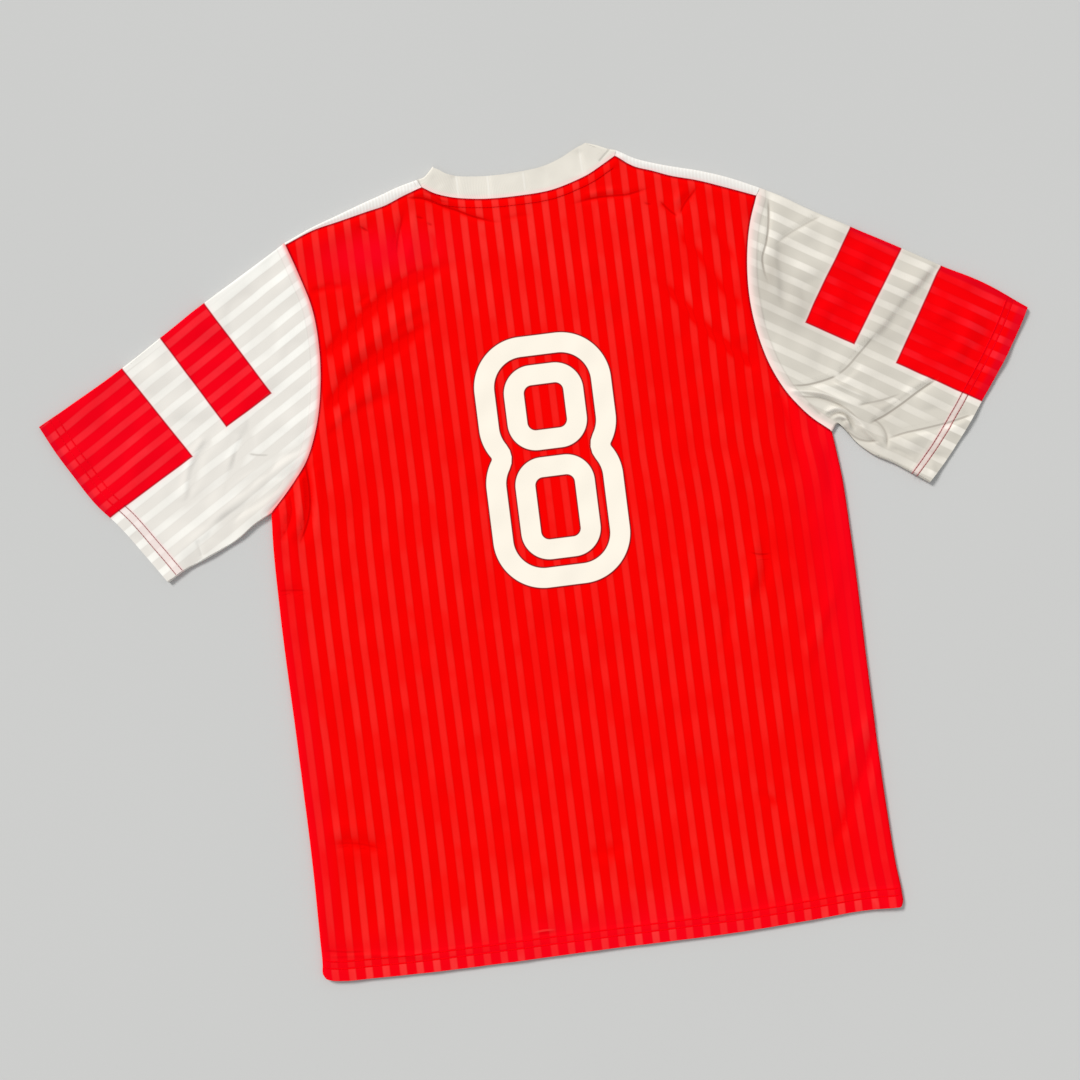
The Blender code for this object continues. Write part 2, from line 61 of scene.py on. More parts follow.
Array = np.ndarray
Rows = tuple[tuple[float, ...], ...]
Spans = tuple[tuple[float, int], ...]
Colour = tuple[float, float, float, float]
Piece = bpy.types.Object
Material = bpy.types.Material
Socket = bpy.types.NodeSocket
Lines = list[tuple[Array, bool]]

# Columns of a sheet: middle of the wall, the way out of it, and place on the cloth
MIDDLE, OUTWARD, CLOTH_AT = slice(0, 3), slice(3, 6), slice(6, 8)
# Tint, which is crimson on the red, painted shade on a sleeve's white and print under a thread; painted
# sheen of the satin; and distances from the hem and from the nearest seam
TINT, GLEAM, TURNED, SEAM = 8, 9, 10, 11
# Gap to the nearest sharp crease and how dark its painted shade is, below zero for a painted highlight, in
# two layers
CREASED, COLUMNS = 12, 16
CLOTH_MAP = "cloth"
CREASE_LAYERS = ("a", "b")
DETAILS = {
    "tint": TINT, "gleam": GLEAM, "turned": TURNED, "seam": SEAM,
    "gap_a": CREASED, "dark_a": CREASED + 1, "gap_b": CREASED + 2, "dark_b": CREASED + 3,
}
FAR = 1.0
# Keeps the sign of a gap that is zero
TINY = 1e-12
SHARP_ANGLE = math.radians(50.0)
UP = (0.0, 0.0, 1.0)
DOWN = (0.0, 0.0, -1.0)
# Gleam, distances and creases of plain cloth
PLAIN = (1.0, FAR, FAR, 0.0, 0.0, 0.0, 0.0)


class Hand(Enum):
    """The wearer's left or right, with the sign of its places across."""

    LEFT = -1
    RIGHT = 1

    @property
    def word(self) -> str:
        """Name of this hand in piece names."""
        return self.name.lower()


# ---- Curves and patches ----

def even(steps: int) -> Array:
    """Fractions at even steps from 0 to 1."""
    return np.linspace(0.0, 1.0, steps + 1)


def graded(spans: Spans) -> Array:
    """Fractions from 0 to 1 in spans of even steps.

    Args:
        spans: The end of each span and its number of steps.

    Returns:
        All the fractions, without doubles where spans meet.
    """
    parts = [np.zeros(1)]
    for end, steps in spans:
        parts.append(np.linspace(parts[-1][-1], end, steps + 1)[1:])
    return np.concatenate(parts)


def unit(vectors: Array) -> Array:
    """Scale vectors to a length of one."""
    return vectors / np.linalg.norm(vectors, axis=-1, keepdims=True)


def lengths_along(places: Array) -> Array:
    """Distance gone at each place of a line."""
    steps = np.linalg.norm(np.diff(places, axis=0), axis=1)
    return np.concatenate(([0.0], np.cumsum(steps)))


def gone_parts(places: Array) -> Array:
    """Fraction of its length gone at each place of a line."""
    gone = lengths_along(places)
    return gone / gone[-1]


def ease(values: Array, low: float, high: float) -> Array:
    """Smooth step from 0 at low to 1 at high."""
    part = np.clip((values - low) / (high - low), 0.0, 1.0)
    return part * part * (3.0 - 2.0 * part)


def smooth(places: Any, parts: Array) -> Array:
    """Points on a smooth curve through the given places.

    Args:
        places: Places that the curve passes through, one row each.
        parts: Fractions of the way along it.

    Returns:
        One row for each fraction.
    """
    places = np.asarray(places, dtype=float)
    knots = lengths_along(places)
    lengths = np.diff(knots)
    slopes = np.gradient(places, knots, axis=0)
    wanted = parts * knots[-1]
    span = np.clip(np.searchsorted(knots, wanted, side="right") - 1, 0, len(lengths) - 1)
    length = lengths[span][:, None]
    part = (wanted - knots[span])[:, None] / length
    rest = 1.0 - part
    from_start = places[span] * (1.0 + 2.0 * part) + slopes[span] * length * part
    from_end = places[span + 1] * (1.0 + 2.0 * rest) - slopes[span + 1] * length * rest
    return from_start * rest ** 2 + from_end * part ** 2


def sampled(stops: Array, gone: Array, line: Array) -> Array:
    """Places of a line in plan at which it has gone so far."""
    return np.stack([np.interp(stops, gone, line[:, axis]) for axis in range(2)], axis=1)


def beside(places: Array, distance: float) -> Array:
    """Move a curve sideways, to the left of its own direction."""
    ahead = unit(np.gradient(places, axis=0))
    return places + distance * np.stack((-ahead[:, 1], ahead[:, 0]), axis=1)


def patch(first: Array, last: Array, start: Array, end: Array) -> Array:
    """Fill four edges with rows of points.

    Args:
        first: Places of the first row.
        last: Places of the last row.
        start: First place of each row.
        end: Last place of each row.

    Returns:
        Rows and columns of places.
    """
    row = (gone_parts(start) + gone_parts(end))[:, None, None] / 2.0
    column = (gone_parts(first) + gone_parts(last))[None, :, None] / 2.0
    between_rows = (1.0 - row) * first[None] + row * last[None]
    between_columns = (1.0 - column) * start[:, None] + column * end[:, None]
    first_line = (1.0 - column) * first[0] + column * first[-1]
    last_line = (1.0 - column) * last[0] + column * last[-1]
    return between_rows + between_columns - (1.0 - row) * first_line - row * last_line


# ---- Plan of the laid garment ----

@dataclass(frozen=True)
class Plan:
    """Edges of the laid garment that its pieces share, seen from above, in millimetres."""

    # across, up: between the two side seams
    hem: Rows = (
        (-280, -1.8), (-271, -3.3), (-235, -4.9), (-200, -5.8), (0, -5.2),
        (140, -4.5), (200, -1.8), (250, 0.7), (270, 0.3), (281, -0.2),
    )
    # up, out on the left, out on the right
    sides: Rows = (
        (1.2, 286.4, 288.1), (5, 288.3, 289.5), (14, 287.6, 289.5), (40, 286.9, 287.4),
        (100, 285.3, 285), (220, 285, 283.8), (370, 285.6, 283.8), (430, 284.2, 282.2),
    )
    # out, up: from the underarm to the end of the shoulder seam
    left_armhole: Rows = (
        (282, 463), (261, 485), (241, 510), (227, 542), (218, 580),
        (214.4, 616), (216.5, 660), (225.5, 695), (234.5, 724.5),
    )
    right_armhole: Rows = (
        (278, 474), (258, 492), (240, 515.5), (226, 544.5), (217.5, 576.5),
        (213.6, 612), (216, 655), (222.5, 687), (232.5, 714.5),
    )
    # out, up at the back's seam, up at the fold: from the neck to the armhole
    left_shoulder: Rows = (
        (94, 764, 772.3), (113, 758, 768), (133, 750.5, 761.6),
        (150, 747, 756.5), (180, 740.6, 746.8), (205, 735.5, 738.8),
        (234.5, 724.5, 726.9),
    )
    right_shoulder: Rows = (
        (99, 771, 777), (117, 758, 766), (133, 752, 759.7),
        (150, 745, 754.1), (175, 737.4, 746.8), (205, 725.8, 735.5),
        (232.5, 714.5, 722.2),
    )
    # How far the fold lies outside the seam, at the neck and at the armhole
    left_fold_out: tuple[float, float] = (4, 1.2)
    right_fold_out: tuple[float, float] = (2, 4.5)
    # across and up at the seam, across and up at the free edge: from left to right
    back_band: Rows = (
        (-94, 764, -76.5, 780), (-83, 757, -70, 775.5),
        (-67, 751, -58, 771), (-45, 746.5, -41, 768.5),
        (0, 744, 0, 767.5), (35, 746, 33, 771.5),
        (55, 751, 48, 777), (70, 756, 57, 781.5),
        (85, 763.5, 67, 785.5), (99, 771, 73, 786.8),
    )
    # out, up: from the shoulder's fold line to the top of the neckband
    left_peak: Rows = ((91, 774), (86.3, 777.8), (81, 783.4))
    right_peak: Rows = ((94, 779), (84, 783.6), (74, 787.3))
    # top out, top up, underside out, underside up: from the armhole to the cuff
    left_sleeve: Rows = (
        (281, 700.8, 301, 453.4), (323.4, 677.2, 316.8, 442.2),
        (366.5, 651, 335, 433.5), (409.4, 624.8, 354, 425.5),
        (453.9, 600.3, 373.3, 418), (499, 577, 391, 408),
    )
    right_sleeve: Rows = (
        (253, 713.8, 283.5, 480.8), (279.5, 697.2, 290.6, 476),
        (320.3, 673.5, 301.5, 459.8), (362, 649.5, 316.2, 446),
        (403.9, 624.4, 333.7, 436), (446.7, 600.5, 350.4, 424.2),
        (485, 572, 367, 412),
    )
    # out, up: from the underside to the top fold
    left_cuff: Rows = (
        (391, 408), (412.5, 440), (431.5, 468), (453, 494), (471.2, 524),
        (486.8, 552), (499, 577),
    )
    right_cuff: Rows = (
        (367, 412), (381.5, 426.5), (401.8, 450), (429, 486), (455, 522),
        (474.2, 552), (485, 572),
    )
    # Distances of the stitch rows from the cuff, at the top fold and at the underside
    left_rows: Rows = ((12.6, 10.9), (20.1, 18.4))
    right_rows: Rows = ((16, 14.5), (22.5, 20))
    # Distances of the stitch rows from the hem
    stitch_rows: tuple[float, float] = (11.8, 18.8)
    front_neck_up: float = 690.0
    yoke_depth: float = 45.0
    # Part of the armhole, counted from the underarm, at which the yoke seam meets it
    yoke_part: float = 0.875
    band_width: float = 23.5

    def _table(self, hand: Hand, name: str) -> Array:
        """One of the paired tables as metres."""
        return np.array(getattr(self, f"{hand.word}_{name}")) * MM

    def side_edge(self, hand: Hand, parts: Array) -> Array:
        """Outline of one side of the body.

        Args:
            hand: The wearer's side.
            parts: Fractions of the way from the hem to the underarm.

        Returns:
            One place for each fraction.
        """
        column = 1 if hand is Hand.LEFT else 2
        places = [(hand.value * row[column] * MM, row[0] * MM) for row in self.sides]
        places.append(tuple(self.armhole(hand, np.zeros(1))[0]))
        return smooth(places, parts)

    def armhole(self, hand: Hand, parts: Array) -> Array:
        """Armhole seam from the underarm to the end of the shoulder seam."""
        return smooth(self._table(hand, "armhole") * (hand.value, 1.0), parts)

    def shoulder_seam(self, hand: Hand, parts: Array) -> Array:
        """Seam between the back and a shoulder piece, from the neck to the armhole."""
        return smooth(self._table(hand, "shoulder")[:, :2] * (hand.value, 1.0), parts)

    def shoulder_fold(self, hand: Hand, parts: Array) -> Array:
        """Fold line of a shoulder piece.

        Args:
            hand: The wearer's side.
            parts: Fractions of the way from the neck to the armhole.

        Returns:
            One place for each fraction.
        """
        rows = self._table(hand, "shoulder")
        out = rows[:, 0] + np.linspace(*self._table(hand, "fold_out"), len(rows))
        return smooth(np.stack((hand.value * out, rows[:, 2]), axis=1), parts)

    def sleeve_edges(self, hand: Hand, parts: Array) -> tuple[Array, Array]:
        """Both folded edges of a sleeve.

        Args:
            hand: The wearer's side.
            parts: Fractions of the way from the armhole to the cuff.

        Returns:
            Places of the top fold, and places of the underside.
        """
        zero, one = np.zeros(1), np.ones(1)
        start = np.concatenate((self.shoulder_fold(hand, one), self.armhole(hand, zero)), axis=1)
        rows = self._table(hand, "sleeve") * (hand.value, 1.0, hand.value, 1.0)
        edges = smooth(np.concatenate((start, rows)), parts)
        return edges[:, :2], edges[:, 2:]

    def cuff(self, hand: Hand, parts: Array) -> Array:
        """Cuff from the underside to the top fold."""
        return smooth(self._table(hand, "cuff") * (hand.value, 1.0), parts)

    @property
    def row_at(self) -> float:
        """Distance at which the outer stitch row is counted, in metres."""
        return self.stitch_rows[0] * MM

    def cuff_row(self, hand: Hand, row: int) -> tuple[float, float]:
        """Distances of a stitch row from the cuff, at the top fold and at the underside."""
        top, under = self._table(hand, "rows")[row]
        return top, under

    def band_fold(self, hand: Hand, parts: Array) -> Array:
        """Fold line of the neckband, from its seam to its peak."""
        places = self._table(hand, "peak") * (hand.value, 1.0)
        return smooth((self.shoulder_fold(hand, np.zeros(1))[0], *places), parts)

    def band_seam(self, parts: Array) -> Array:
        """Seam between the back and the neckband, from left to right."""
        return smooth(np.array(self.back_band)[:, :2] * MM, parts)

    def hem_between(self, left: Array, right: Array, parts: Array) -> Array:
        """Hem from one corner to the other."""
        return smooth([left, *(np.array(self.hem) * MM), right], parts)

    def outline(self, steps: int) -> Array:
        """Points along every folded edge, where the cloth springs up a little.

        Args:
            steps: Steps along each edge.

        Returns:
            The places of all the edges together.
        """
        parts = even(steps)
        edges: list[Array] = []
        for hand in Hand:
            edges.append(self.side_edge(hand, parts))
            edges.append(self.shoulder_fold(hand, parts))
            edges.append(self.band_fold(hand, parts))
            edges.extend(self.sleeve_edges(hand, parts))
        return np.concatenate(edges)

    def seams(self, steps: int) -> Array:
        """Points along every seam of the top layer.

        Args:
            steps: Steps along each seam.

        Returns:
            The places of all the seams together.
        """
        parts = even(steps)
        edges = [self.band_seam(parts)]
        for hand in Hand:
            edges.append(self.armhole(hand, parts))
            edges.append(self.shoulder_seam(hand, parts))
        return np.concatenate(edges)


@dataclass(frozen=True)
class SleeveFrame:
    """Places on a sleeve as distances along its top fold and down from it."""

    hand: Hand
    start: Array
    end: Array

    @property
    def along(self) -> Array:
        """Direction from the shoulder to the cuff."""
        return unit(self.end - self.start)

    @property
    def down(self) -> Array:
        """Direction from the top fold to the underside."""
        across, up = self.along
        return np.array((up, -across)) * self.hand.value

    def plan(self, places: Any) -> Array:
        """Places in plan of distances along and down, in metres."""
        places = np.asarray(places, dtype=float)
        return self.start + places[..., :1] * self.along + places[..., 1:2] * self.down

    def cloth(self, places: Array) -> Array:
        """Distances down and along of places in plan, in metres."""
        gap = places - self.start
        return np.stack((gap @ self.down, gap @ self.along), axis=-1)


def sleeve_frame(plan: Plan, hand: Hand) -> SleeveFrame:
    """The frame of one sleeve, from its shoulder corner to the top of its cuff."""
    one = np.ones(1)
    return SleeveFrame(hand, plan.shoulder_fold(hand, one)[0], plan.cuff(hand, one)[0])


# ---- Folds and creases ----

class Fold(NamedTuple):
    """A soft ridge along a line of places, or a trough where its rise is below zero.

    Where it is too sharp for the mesh, its line is also drawn into the colour: painted shade above zero and
    a painted highlight below zero.
    """

    places: Rows
    rise: float
    left: float
    right: float
    fade_in: float = 0.35
    fade_out: float = 0.35
    # How dark the drawn line is: painted shade above zero, a painted highlight below zero
    dark: float = 0.0


# Drag lines from both armholes, the press of the neck tape and the waves of the lower back
BACK_FOLDS = (
    Fold(((-213, 609), (-185, 632), (-161, 650), (-119, 675), (-81, 684), (-62, 686)), -2.2, 4.5, 8, 0.1),
    Fold(((-208, 588), (-180, 608), (-150, 626), (-118, 645), (-84, 655)), 1.6, 9, 6, 0.1),
    Fold(((-215, 556), (-195, 580), (-173, 596), (-140, 612), (-112, 626), (-90, 634)),
         -2, 4.5, 8, 0.1),
    Fold(((-214, 538), (-190, 558), (-165, 576), (-130, 592)), 1.3, 9, 9, 0.1),
    Fold(((-216, 530), (-196, 548), (-170, 560), (-140, 566)), -0.9, 4, 7, 0.1),
    Fold(((-173, 655), (-166, 661), (-156, 666)), -1, 2, 2.6),
    Fold(((-215, 675), (-196, 678), (-176, 676)), -1, 3, 4, 0.1),
    Fold(((-216, 712), (-180, 730), (-140, 742)), 0.6, 8, 8),
    Fold(((-114, 744), (-118, 733), (-124, 716), (-128, 696)), -1.5, 2.4, 3.4, dark=0.4),
    Fold(((-106, 744), (-110, 722), (-116, 690)), 1, 5, 3),
    Fold(((-91, 722), (-88, 708), (-89, 694)), -0.8, 2.2, 2.4),
    Fold(((-160, 734), (-155, 730), (-151, 727)), -1.2, 2, 2, dark=0.7),
    Fold(((-103, 736.5), (-98, 734), (-95, 733)), -0.6, 1.6, 1.6, dark=0.6),
    Fold(((-93, 729), (-90, 726.5), (-88, 726)), -0.6, 1.6, 1.6, dark=0.6),
    Fold(((122, 721.5), (125, 720), (129, 719)), -0.6, 1.6, 1.6, dark=0.5),
    Fold(((-112, 756), (-94, 753), (-75, 743), (-60, 736), (-49, 730), (-36, 724.8), (-27, 721.3),
          (-18, 720.5)), -1.7, 1.6, 2.6, 0.15, 0.3, 0.75),
    Fold(((-104, 760), (-90, 757), (-76, 750), (-62, 745)), 0.9, 2.4, 2.4),
    Fold(((-98, 760.5), (-84, 755.5), (-76, 748), (-66, 745)), -0.9, 1.4, 1.6, dark=0.4),
    Fold(((-20, 722), (-4, 724), (12, 723)), -0.6, 2, 3),
    Fold(((50, 729), (70, 732), (88, 732.5), (108, 731.8), (123, 734.4), (132, 736)),
         -1.5, 1.6, 2.4, 0.3, 0.3, 0.65),
    Fold(((60, 736), (84, 738), (106, 737)), 0.8, 3, 3),
    Fold(((138, 721), (146, 711), (153, 704)), -1.4, 2, 3, 0.2, 0.2, 0.6),
    Fold(((155, 705), (162, 716), (170, 724), (177, 732)), -1.3, 3, 2, 0.2, 0.3, 0.55),
    Fold(((150, 716), (158, 724), (163, 733)), 1, 4, 4),
    Fold(((153, 702), (156, 690), (158, 670)), -0.8, 3, 4),
    Fold(((118, 652), (142, 625), (161, 598), (181, 575), (200, 556), (213, 546)),
         -2.1, 6, 4.5, 0.3, 0.1),
    Fold(((140, 650), (163, 618), (182, 594), (206, 572)), 1.5, 7, 7, 0.3, 0.1),
    Fold(((150, 690), (172, 660), (186, 632), (205, 606)), -1.2, 5, 5, 0.3, 0.1),
    Fold(((182, 700), (196, 672), (206, 645)), -1, 4, 4),
    Fold(((-243, 512), (-241.5, 484), (-244, 460), (-250, 444), (-259, 428)),
         -2.2, 3, 2, 0.1, 0.2, 0.7),
    Fold(((-250, 500), (-250, 474), (-258, 448), (-272, 430)), 1.8, 4, 4, 0.1),
    Fold(((-262, 480), (-262, 462), (-270, 444), (-279, 434)), -1.5, 2.2, 2.6, 0.1, 0.3, 0.3),
    Fold(((-232, 506), (-233, 480), (-240, 450), (-248, 420)), 0.9, 6, 4, 0.1),
    Fold(((-261, 466), (-268, 460), (-277, 452)), 1.1, 2.6, 2),
    Fold(((-268, 454), (-274, 447), (-281, 440)), 1, 2.4, 2),
    Fold(((-272, 468), (-268, 448), (-262, 424), (-264, 400)), 0.9, 3, 3),
    Fold(((242, 515), (252, 480), (258, 440), (264, 408)), 1.2, 6, 5, 0.1),
    Fold(((230, 520), (238, 484), (244, 440)), -1.2, 4, 5, 0.1),
    Fold(((270, 470), (272, 430), (268, 396)), -1.2, 3.4, 5),
    Fold(((182, 366), (192, 362.5), (204, 362)), -1.4, 1.8, 2.4, dark=0.6),
    Fold(((188, 392), (186, 350), (175, 323), (169, 300)), 1.6, 6, 5),
    Fold(((196, 384), (196, 350), (184, 316)), -1.1, 6, 5),
    Fold(((158, 322), (150, 296), (146, 268)), -0.9, 5, 5),
    Fold(((272, 350), (258, 312), (238, 277), (218, 246)), 1.1, 6, 6),
    Fold(((262, 316), (240, 262), (226, 230)), -0.6, 5, 6),
    Fold(((283, 176), (268, 140), (252, 112), (238, 85), (219, 58)), -1.3, 5, 4.5, 0.1),
    Fold(((284, 196), (258, 160), (240, 132), (232, 100)), 1.1, 6, 6, 0.1),
    Fold(((284, 150), (272, 120), (262, 92)), 0.9, 4, 4, 0.1),
    Fold(((-268, 132), (-240, 129), (-210, 119)), -1.6, 4.5, 5, dark=0.25),
    Fold(((-272, 146), (-236, 144), (-205, 134)), 0.9, 7, 7),
    Fold(((-20, 92), (4, 90), (30, 96)), -0.9, 6, 7),
    Fold(((156, 130), (168, 124), (182, 112)), -1, 5, 6),
    Fold(((-282, 386), (-270, 385), (-256, 383)), -1, 2.4, 3, 0.1, 0.3, 0.4),
    Fold(((-283, 24), (-245, 19), (-208, 14), (-165, 9)), 1, 2.8, 2.4, 0.1),
    Fold(((-283, 28), (-262, 24), (-240, 22)), -0.9, 2.6, 2.6, 0.1, 0.3, 0.4),
    Fold(((-77, 20), (-66, 21), (-54, 20)), 1, 2.2, 2.2, dark=-0.4),
    Fold(((258, 16), (264, 6), (268, -2)), 0.9, 3, 3),
    Fold(((-160, 470), (-120, 380), (-128, 300)), 0.4, 22, 24),
    Fold(((100, 480), (128, 380), (110, 250)), 0.4, 24, 20),
)

# Soft waves of the neckband, and the ends of its seam on both shoulders
NECK_FOLDS = (
    Fold(((-59, 774), (-59, 762), (-59, 748)), -1.4, 1.8, 6, 0.2, 0.2, -0.35),
    Fold(((-28.5, 771), (-28.5, 760), (-29, 744)), -1.4, 1.8, 8, 0.2, 0.2, -0.35),
    Fold(((7, 769), (7, 758), (7, 745)), -1.4, 2, 10, 0.2, 0.3, -0.3),
    Fold(((27, 771), (26, 760), (26, 748)), -0.6, 4, 7),
    Fold(((65, 783), (65, 770), (66, 756)), -1.2, 2.2, 6, 0.2, 0.2, -0.25),
    Fold(((-84, 776), (-79, 768), (-74, 760)), -0.5, 4, 6),
    Fold(((95, 778.6), (88.5, 773), (82.5, 767.5)), -0.5, 1.5, 1.5, 0.1, 0.1, 0.7),
    Fold(((-96.9, 772), (-95.6, 769), (-93.8, 765.5)), -0.5, 1.5, 1.5, 0.1, 0.1, 0.6),
)

# Creases of both sleeves, seen in plan
SLEEVE_CREASES = (
    Fold(((244, 709), (243, 698), (241.5, 687), (237, 668), (231, 652), (231, 642), (234, 624)),
         -1.5, 1.4, 1.6, 0.1, 0.3, 0.9),
    Fold(((247, 711), (247, 698), (245, 687), (242, 672)), 0.6, 9, 2.2, 0.1),
    Fold(((245, 676), (242.5, 652), (241.5, 630), (240.5, 610), (245, 586)), 2, 5, 9, 0.15),
    Fold(((294, 687), (276, 680), (258, 672), (243, 663)), -1.3, 1.6, 2.4, 0.1, 0.3, 0.3),
    Fold(((334, 566), (324, 556), (314, 547), (299, 534), (291, 529)), -1.6, 2.2, 1.6, 0.3, 0.1, 0.7),
    Fold(((289, 528), (281, 526), (270, 524), (255, 523), (243, 524.5)), -1.6, 1.8, 1.4, 0.1, 0.2, 0.85),
    Fold(((240, 519), (254, 517.5), (270, 513.5), (281, 509), (292, 503), (307, 495)),
         1.7, 3.4, 3, 0.1, 0.3, -0.5),
    Fold(((283, 524), (289, 519), (302, 511), (318, 502)), 1.2, 3, 2.6, 0.2, 0.3, -0.35),
    Fold(((386, 512), (370, 504), (347, 491), (331, 483), (315, 477)), -2.3, 1.6, 1.6, 0.1, 0.15, 0.95),
    Fold(((386, 518), (368, 510), (345, 498), (322, 488)), 1.2, 3, 5, 0.15, 0.15),
    Fold(((418, 473.5), (394, 468.6), (370, 465.7), (346, 463.2), (331, 460)),
         -1.9, 1.6, 8, 0.1, 0.15, 0.75),
    Fold(((414, 467), (392, 462.5), (368, 459), (344, 456)), 1.6, 8, 3, 0.15, 0.2),
    Fold(((306, 496.5), (318, 497.5), (330, 498.5), (352, 503)), -1.4, 1.8, 2.2, 0.15, 0.3, 0.5),
    Fold(((249, 513), (256, 511.5), (270, 508.5), (281, 503.5), (292, 496.5), (304, 484), (312, 475)),
         -1.9, 1.6, 3.2, 0.1, 0.3, 0.6),
    Fold(((270, 491), (279, 495.5), (286, 496.5), (295, 492), (302, 485.5), (309, 477), (317, 466)),
         2.4, 2.4, 2.2, 0.2),
    Fold(((275, 487), (281, 490.5), (288, 491), (294, 487.5), (298, 481), (302, 473)),
         -2, 1.7, 1.6, 0.2, 0.3, 0.5),
    Fold(((279, 486), (286, 488), (292, 485), (295, 479), (296, 472)), 2.2, 2, 2.2, 0.25),
    Fold(((287, 482), (291, 483.5), (296, 483), (299, 478), (301, 470)), -1.6, 1.5, 1.6, 0.2),
    Fold(((305, 478), (311, 470), (319, 460), (327, 449)), 2, 2.2, 2.4, 0.2),
    Fold(((290, 478), (296, 469.5), (304, 463), (313, 460), (324, 459)), -1.7, 2.2, 1.5, 0.15, 0.2, 0.6),
    Fold(((319, 482), (327, 474), (331, 463), (329, 450)), -2, 1.8, 2.2, 0.2, 0.2, 0.5),
    Fold(((330, 452), (343, 446), (356, 436)), -1.2, 2.2, 3),
    Fold(((258, 505), (264, 498), (270, 491)), -1, 1.8, 1.8, 0.2, 0.2, 0.35),
    Fold(((-331, 546), (-341, 535), (-349, 524), (-354.5, 510), (-360, 492), (-368, 474)),
         -1.7, 5.5, 2.4, 0.1),
    Fold(((-338, 546), (-352, 528), (-360, 510), (-366, 490)), 1.1, 3, 6, 0.1),
    Fold(((-295, 546), (-303, 532), (-310, 519), (-317, 504), (-326, 488)), -1.5, 5, 2.2, 0.1),
    Fold(((-302, 544), (-312, 526), (-320, 510)), 0.9, 3, 5, 0.1),
    Fold(((-297, 524.5), (-288, 522), (-277, 520.5)), -1.2, 1.5, 1.7, 0.2, 0.2, 0.5),
    Fold(((-262, 525), (-285, 516), (-302, 508), (-332, 498)), -1.2, 4, 4.5, 0.15, 0.35),
    Fold(((-322, 500), (-350, 488), (-378, 478), (-404, 468)), -0.8, 6, 5),
    Fold(((-262, 492), (-296, 474), (-330, 462), (-352, 456)), -1.2, 4, 5),
    Fold(((-357.5, 447), (-355.5, 438), (-354, 429)), -0.9, 2.4, 2.4, 0.2, 0.1, -0.25),
    Fold(((-250, 500), (-262, 486), (-276, 472), (-292, 460)), -0.9, 2, 3),
)

# Broad folds of a sleeve, along its top fold and down from it
LEFT_SLEEVE_FOLDS = (
    Fold(((112, 110), (130, 122), (150, 136), (165, 145), (190, 157)), -0.9, 4.5, 6),
    Fold(((96, 171), (130, 168), (160, 168), (195, 171)), -0.9, 4.5, 5, 0.15),
    Fold(((100, 177), (140, 175), (185, 176), (240, 181), (290, 185)), 0.8, 4, 6, 0.15),
    Fold(((130, 184), (170, 183), (215, 186), (258, 191)), -0.8, 3.2, 3.6),
    Fold(((40, 60), (62, 88), (92, 112)), 0.5, 12, 12),
    Fold(((60, 20), (66, 60), (86, 96)), -0.4, 12, 12),
    Fold(((225, 30), (236, 70), (232, 110)), 0.4, 14, 14),
)

RIGHT_SLEEVE_FOLDS = (
    Fold(((66, 30), (71, 60), (75, 92), (84, 124)), 1.2, 12, 9),
    Fold(((90, 34), (92, 70), (96, 104)), -0.9, 9, 9),
    Fold(((187, -3), (183, 14), (175, 37), (168, 65), (160, 92), (155, 118)), 2.1, 3.6, 13, 0.08, 0.3),
    Fold(((193, -2), (188, 18), (181, 42), (175, 66), (168, 90)), -0.9, 4, 2.8, 0.08, 0.3),
    Fold(((166, 112), (162, 128), (154, 144), (140, 153), (124, 162)), 1.3, 8, 2.4, 0.25, 0.2),
    Fold(((262, 178), (270, 186), (272, 194)), 1, 4, 4),
    Fold(((238, 20), (246, 50), (240, 84)), 1.1, 8, 9),
    Fold(((222, 30), (226, 60), (220, 90)), -0.9, 7, 7),
    Fold(((262, 10), (268, 44), (262, 84)), -1, 7, 8),
    Fold(((118, 30), (128, 62), (122, 96)), -0.8, 10, 10),
    Fold(((240, 176), (262, 172), (284, 166)), -0.9, 3.4, 4),
)

# The layer that rests on the floor is pressed flat, so its creases are shallow
FLOOR_FOLDS = (
    Fold(((-230, 560), (-150, 520), (-80, 470)), 0.45, 7, 5),
    Fold(((-240, 420), (-170, 380), (-60, 372)), 0.40, 5, 8),
    Fold(((-262, 250), (-200, 214), (-120, 190)), 0.45, 8, 5),
    Fold(((-180, 110), (-90, 84), (0, 92)), 0.40, 6, 9),
    Fold(((236, 540), (170, 500), (110, 430)), 0.45, 5, 7),
    Fold(((255, 390), (180, 350), (140, 280)), 0.40, 8, 5),
    Fold(((262, 230), (214, 170), (190, 90)), 0.45, 5, 8),
    Fold(((20, 620), (34, 520), (10, 430)), 0.40, 6, 6),
    Fold(((-60, 300), (10, 268), (96, 262)), 0.35, 9, 6),
    Fold(((60, 180), (86, 120), (78, 50)), 0.40, 6, 8),
    Fold(((-330, 590), (-350, 530), (-352, 470)), 0.40, 5, 7),
    Fold(((-420, 560), (-400, 500), (-384, 452)), 0.35, 8, 5),
    Fold(((330, 600), (322, 540), (326, 480)), 0.40, 5, 7),
    Fold(((410, 560), (388, 500), (366, 450)), 0.35, 7, 5),
)


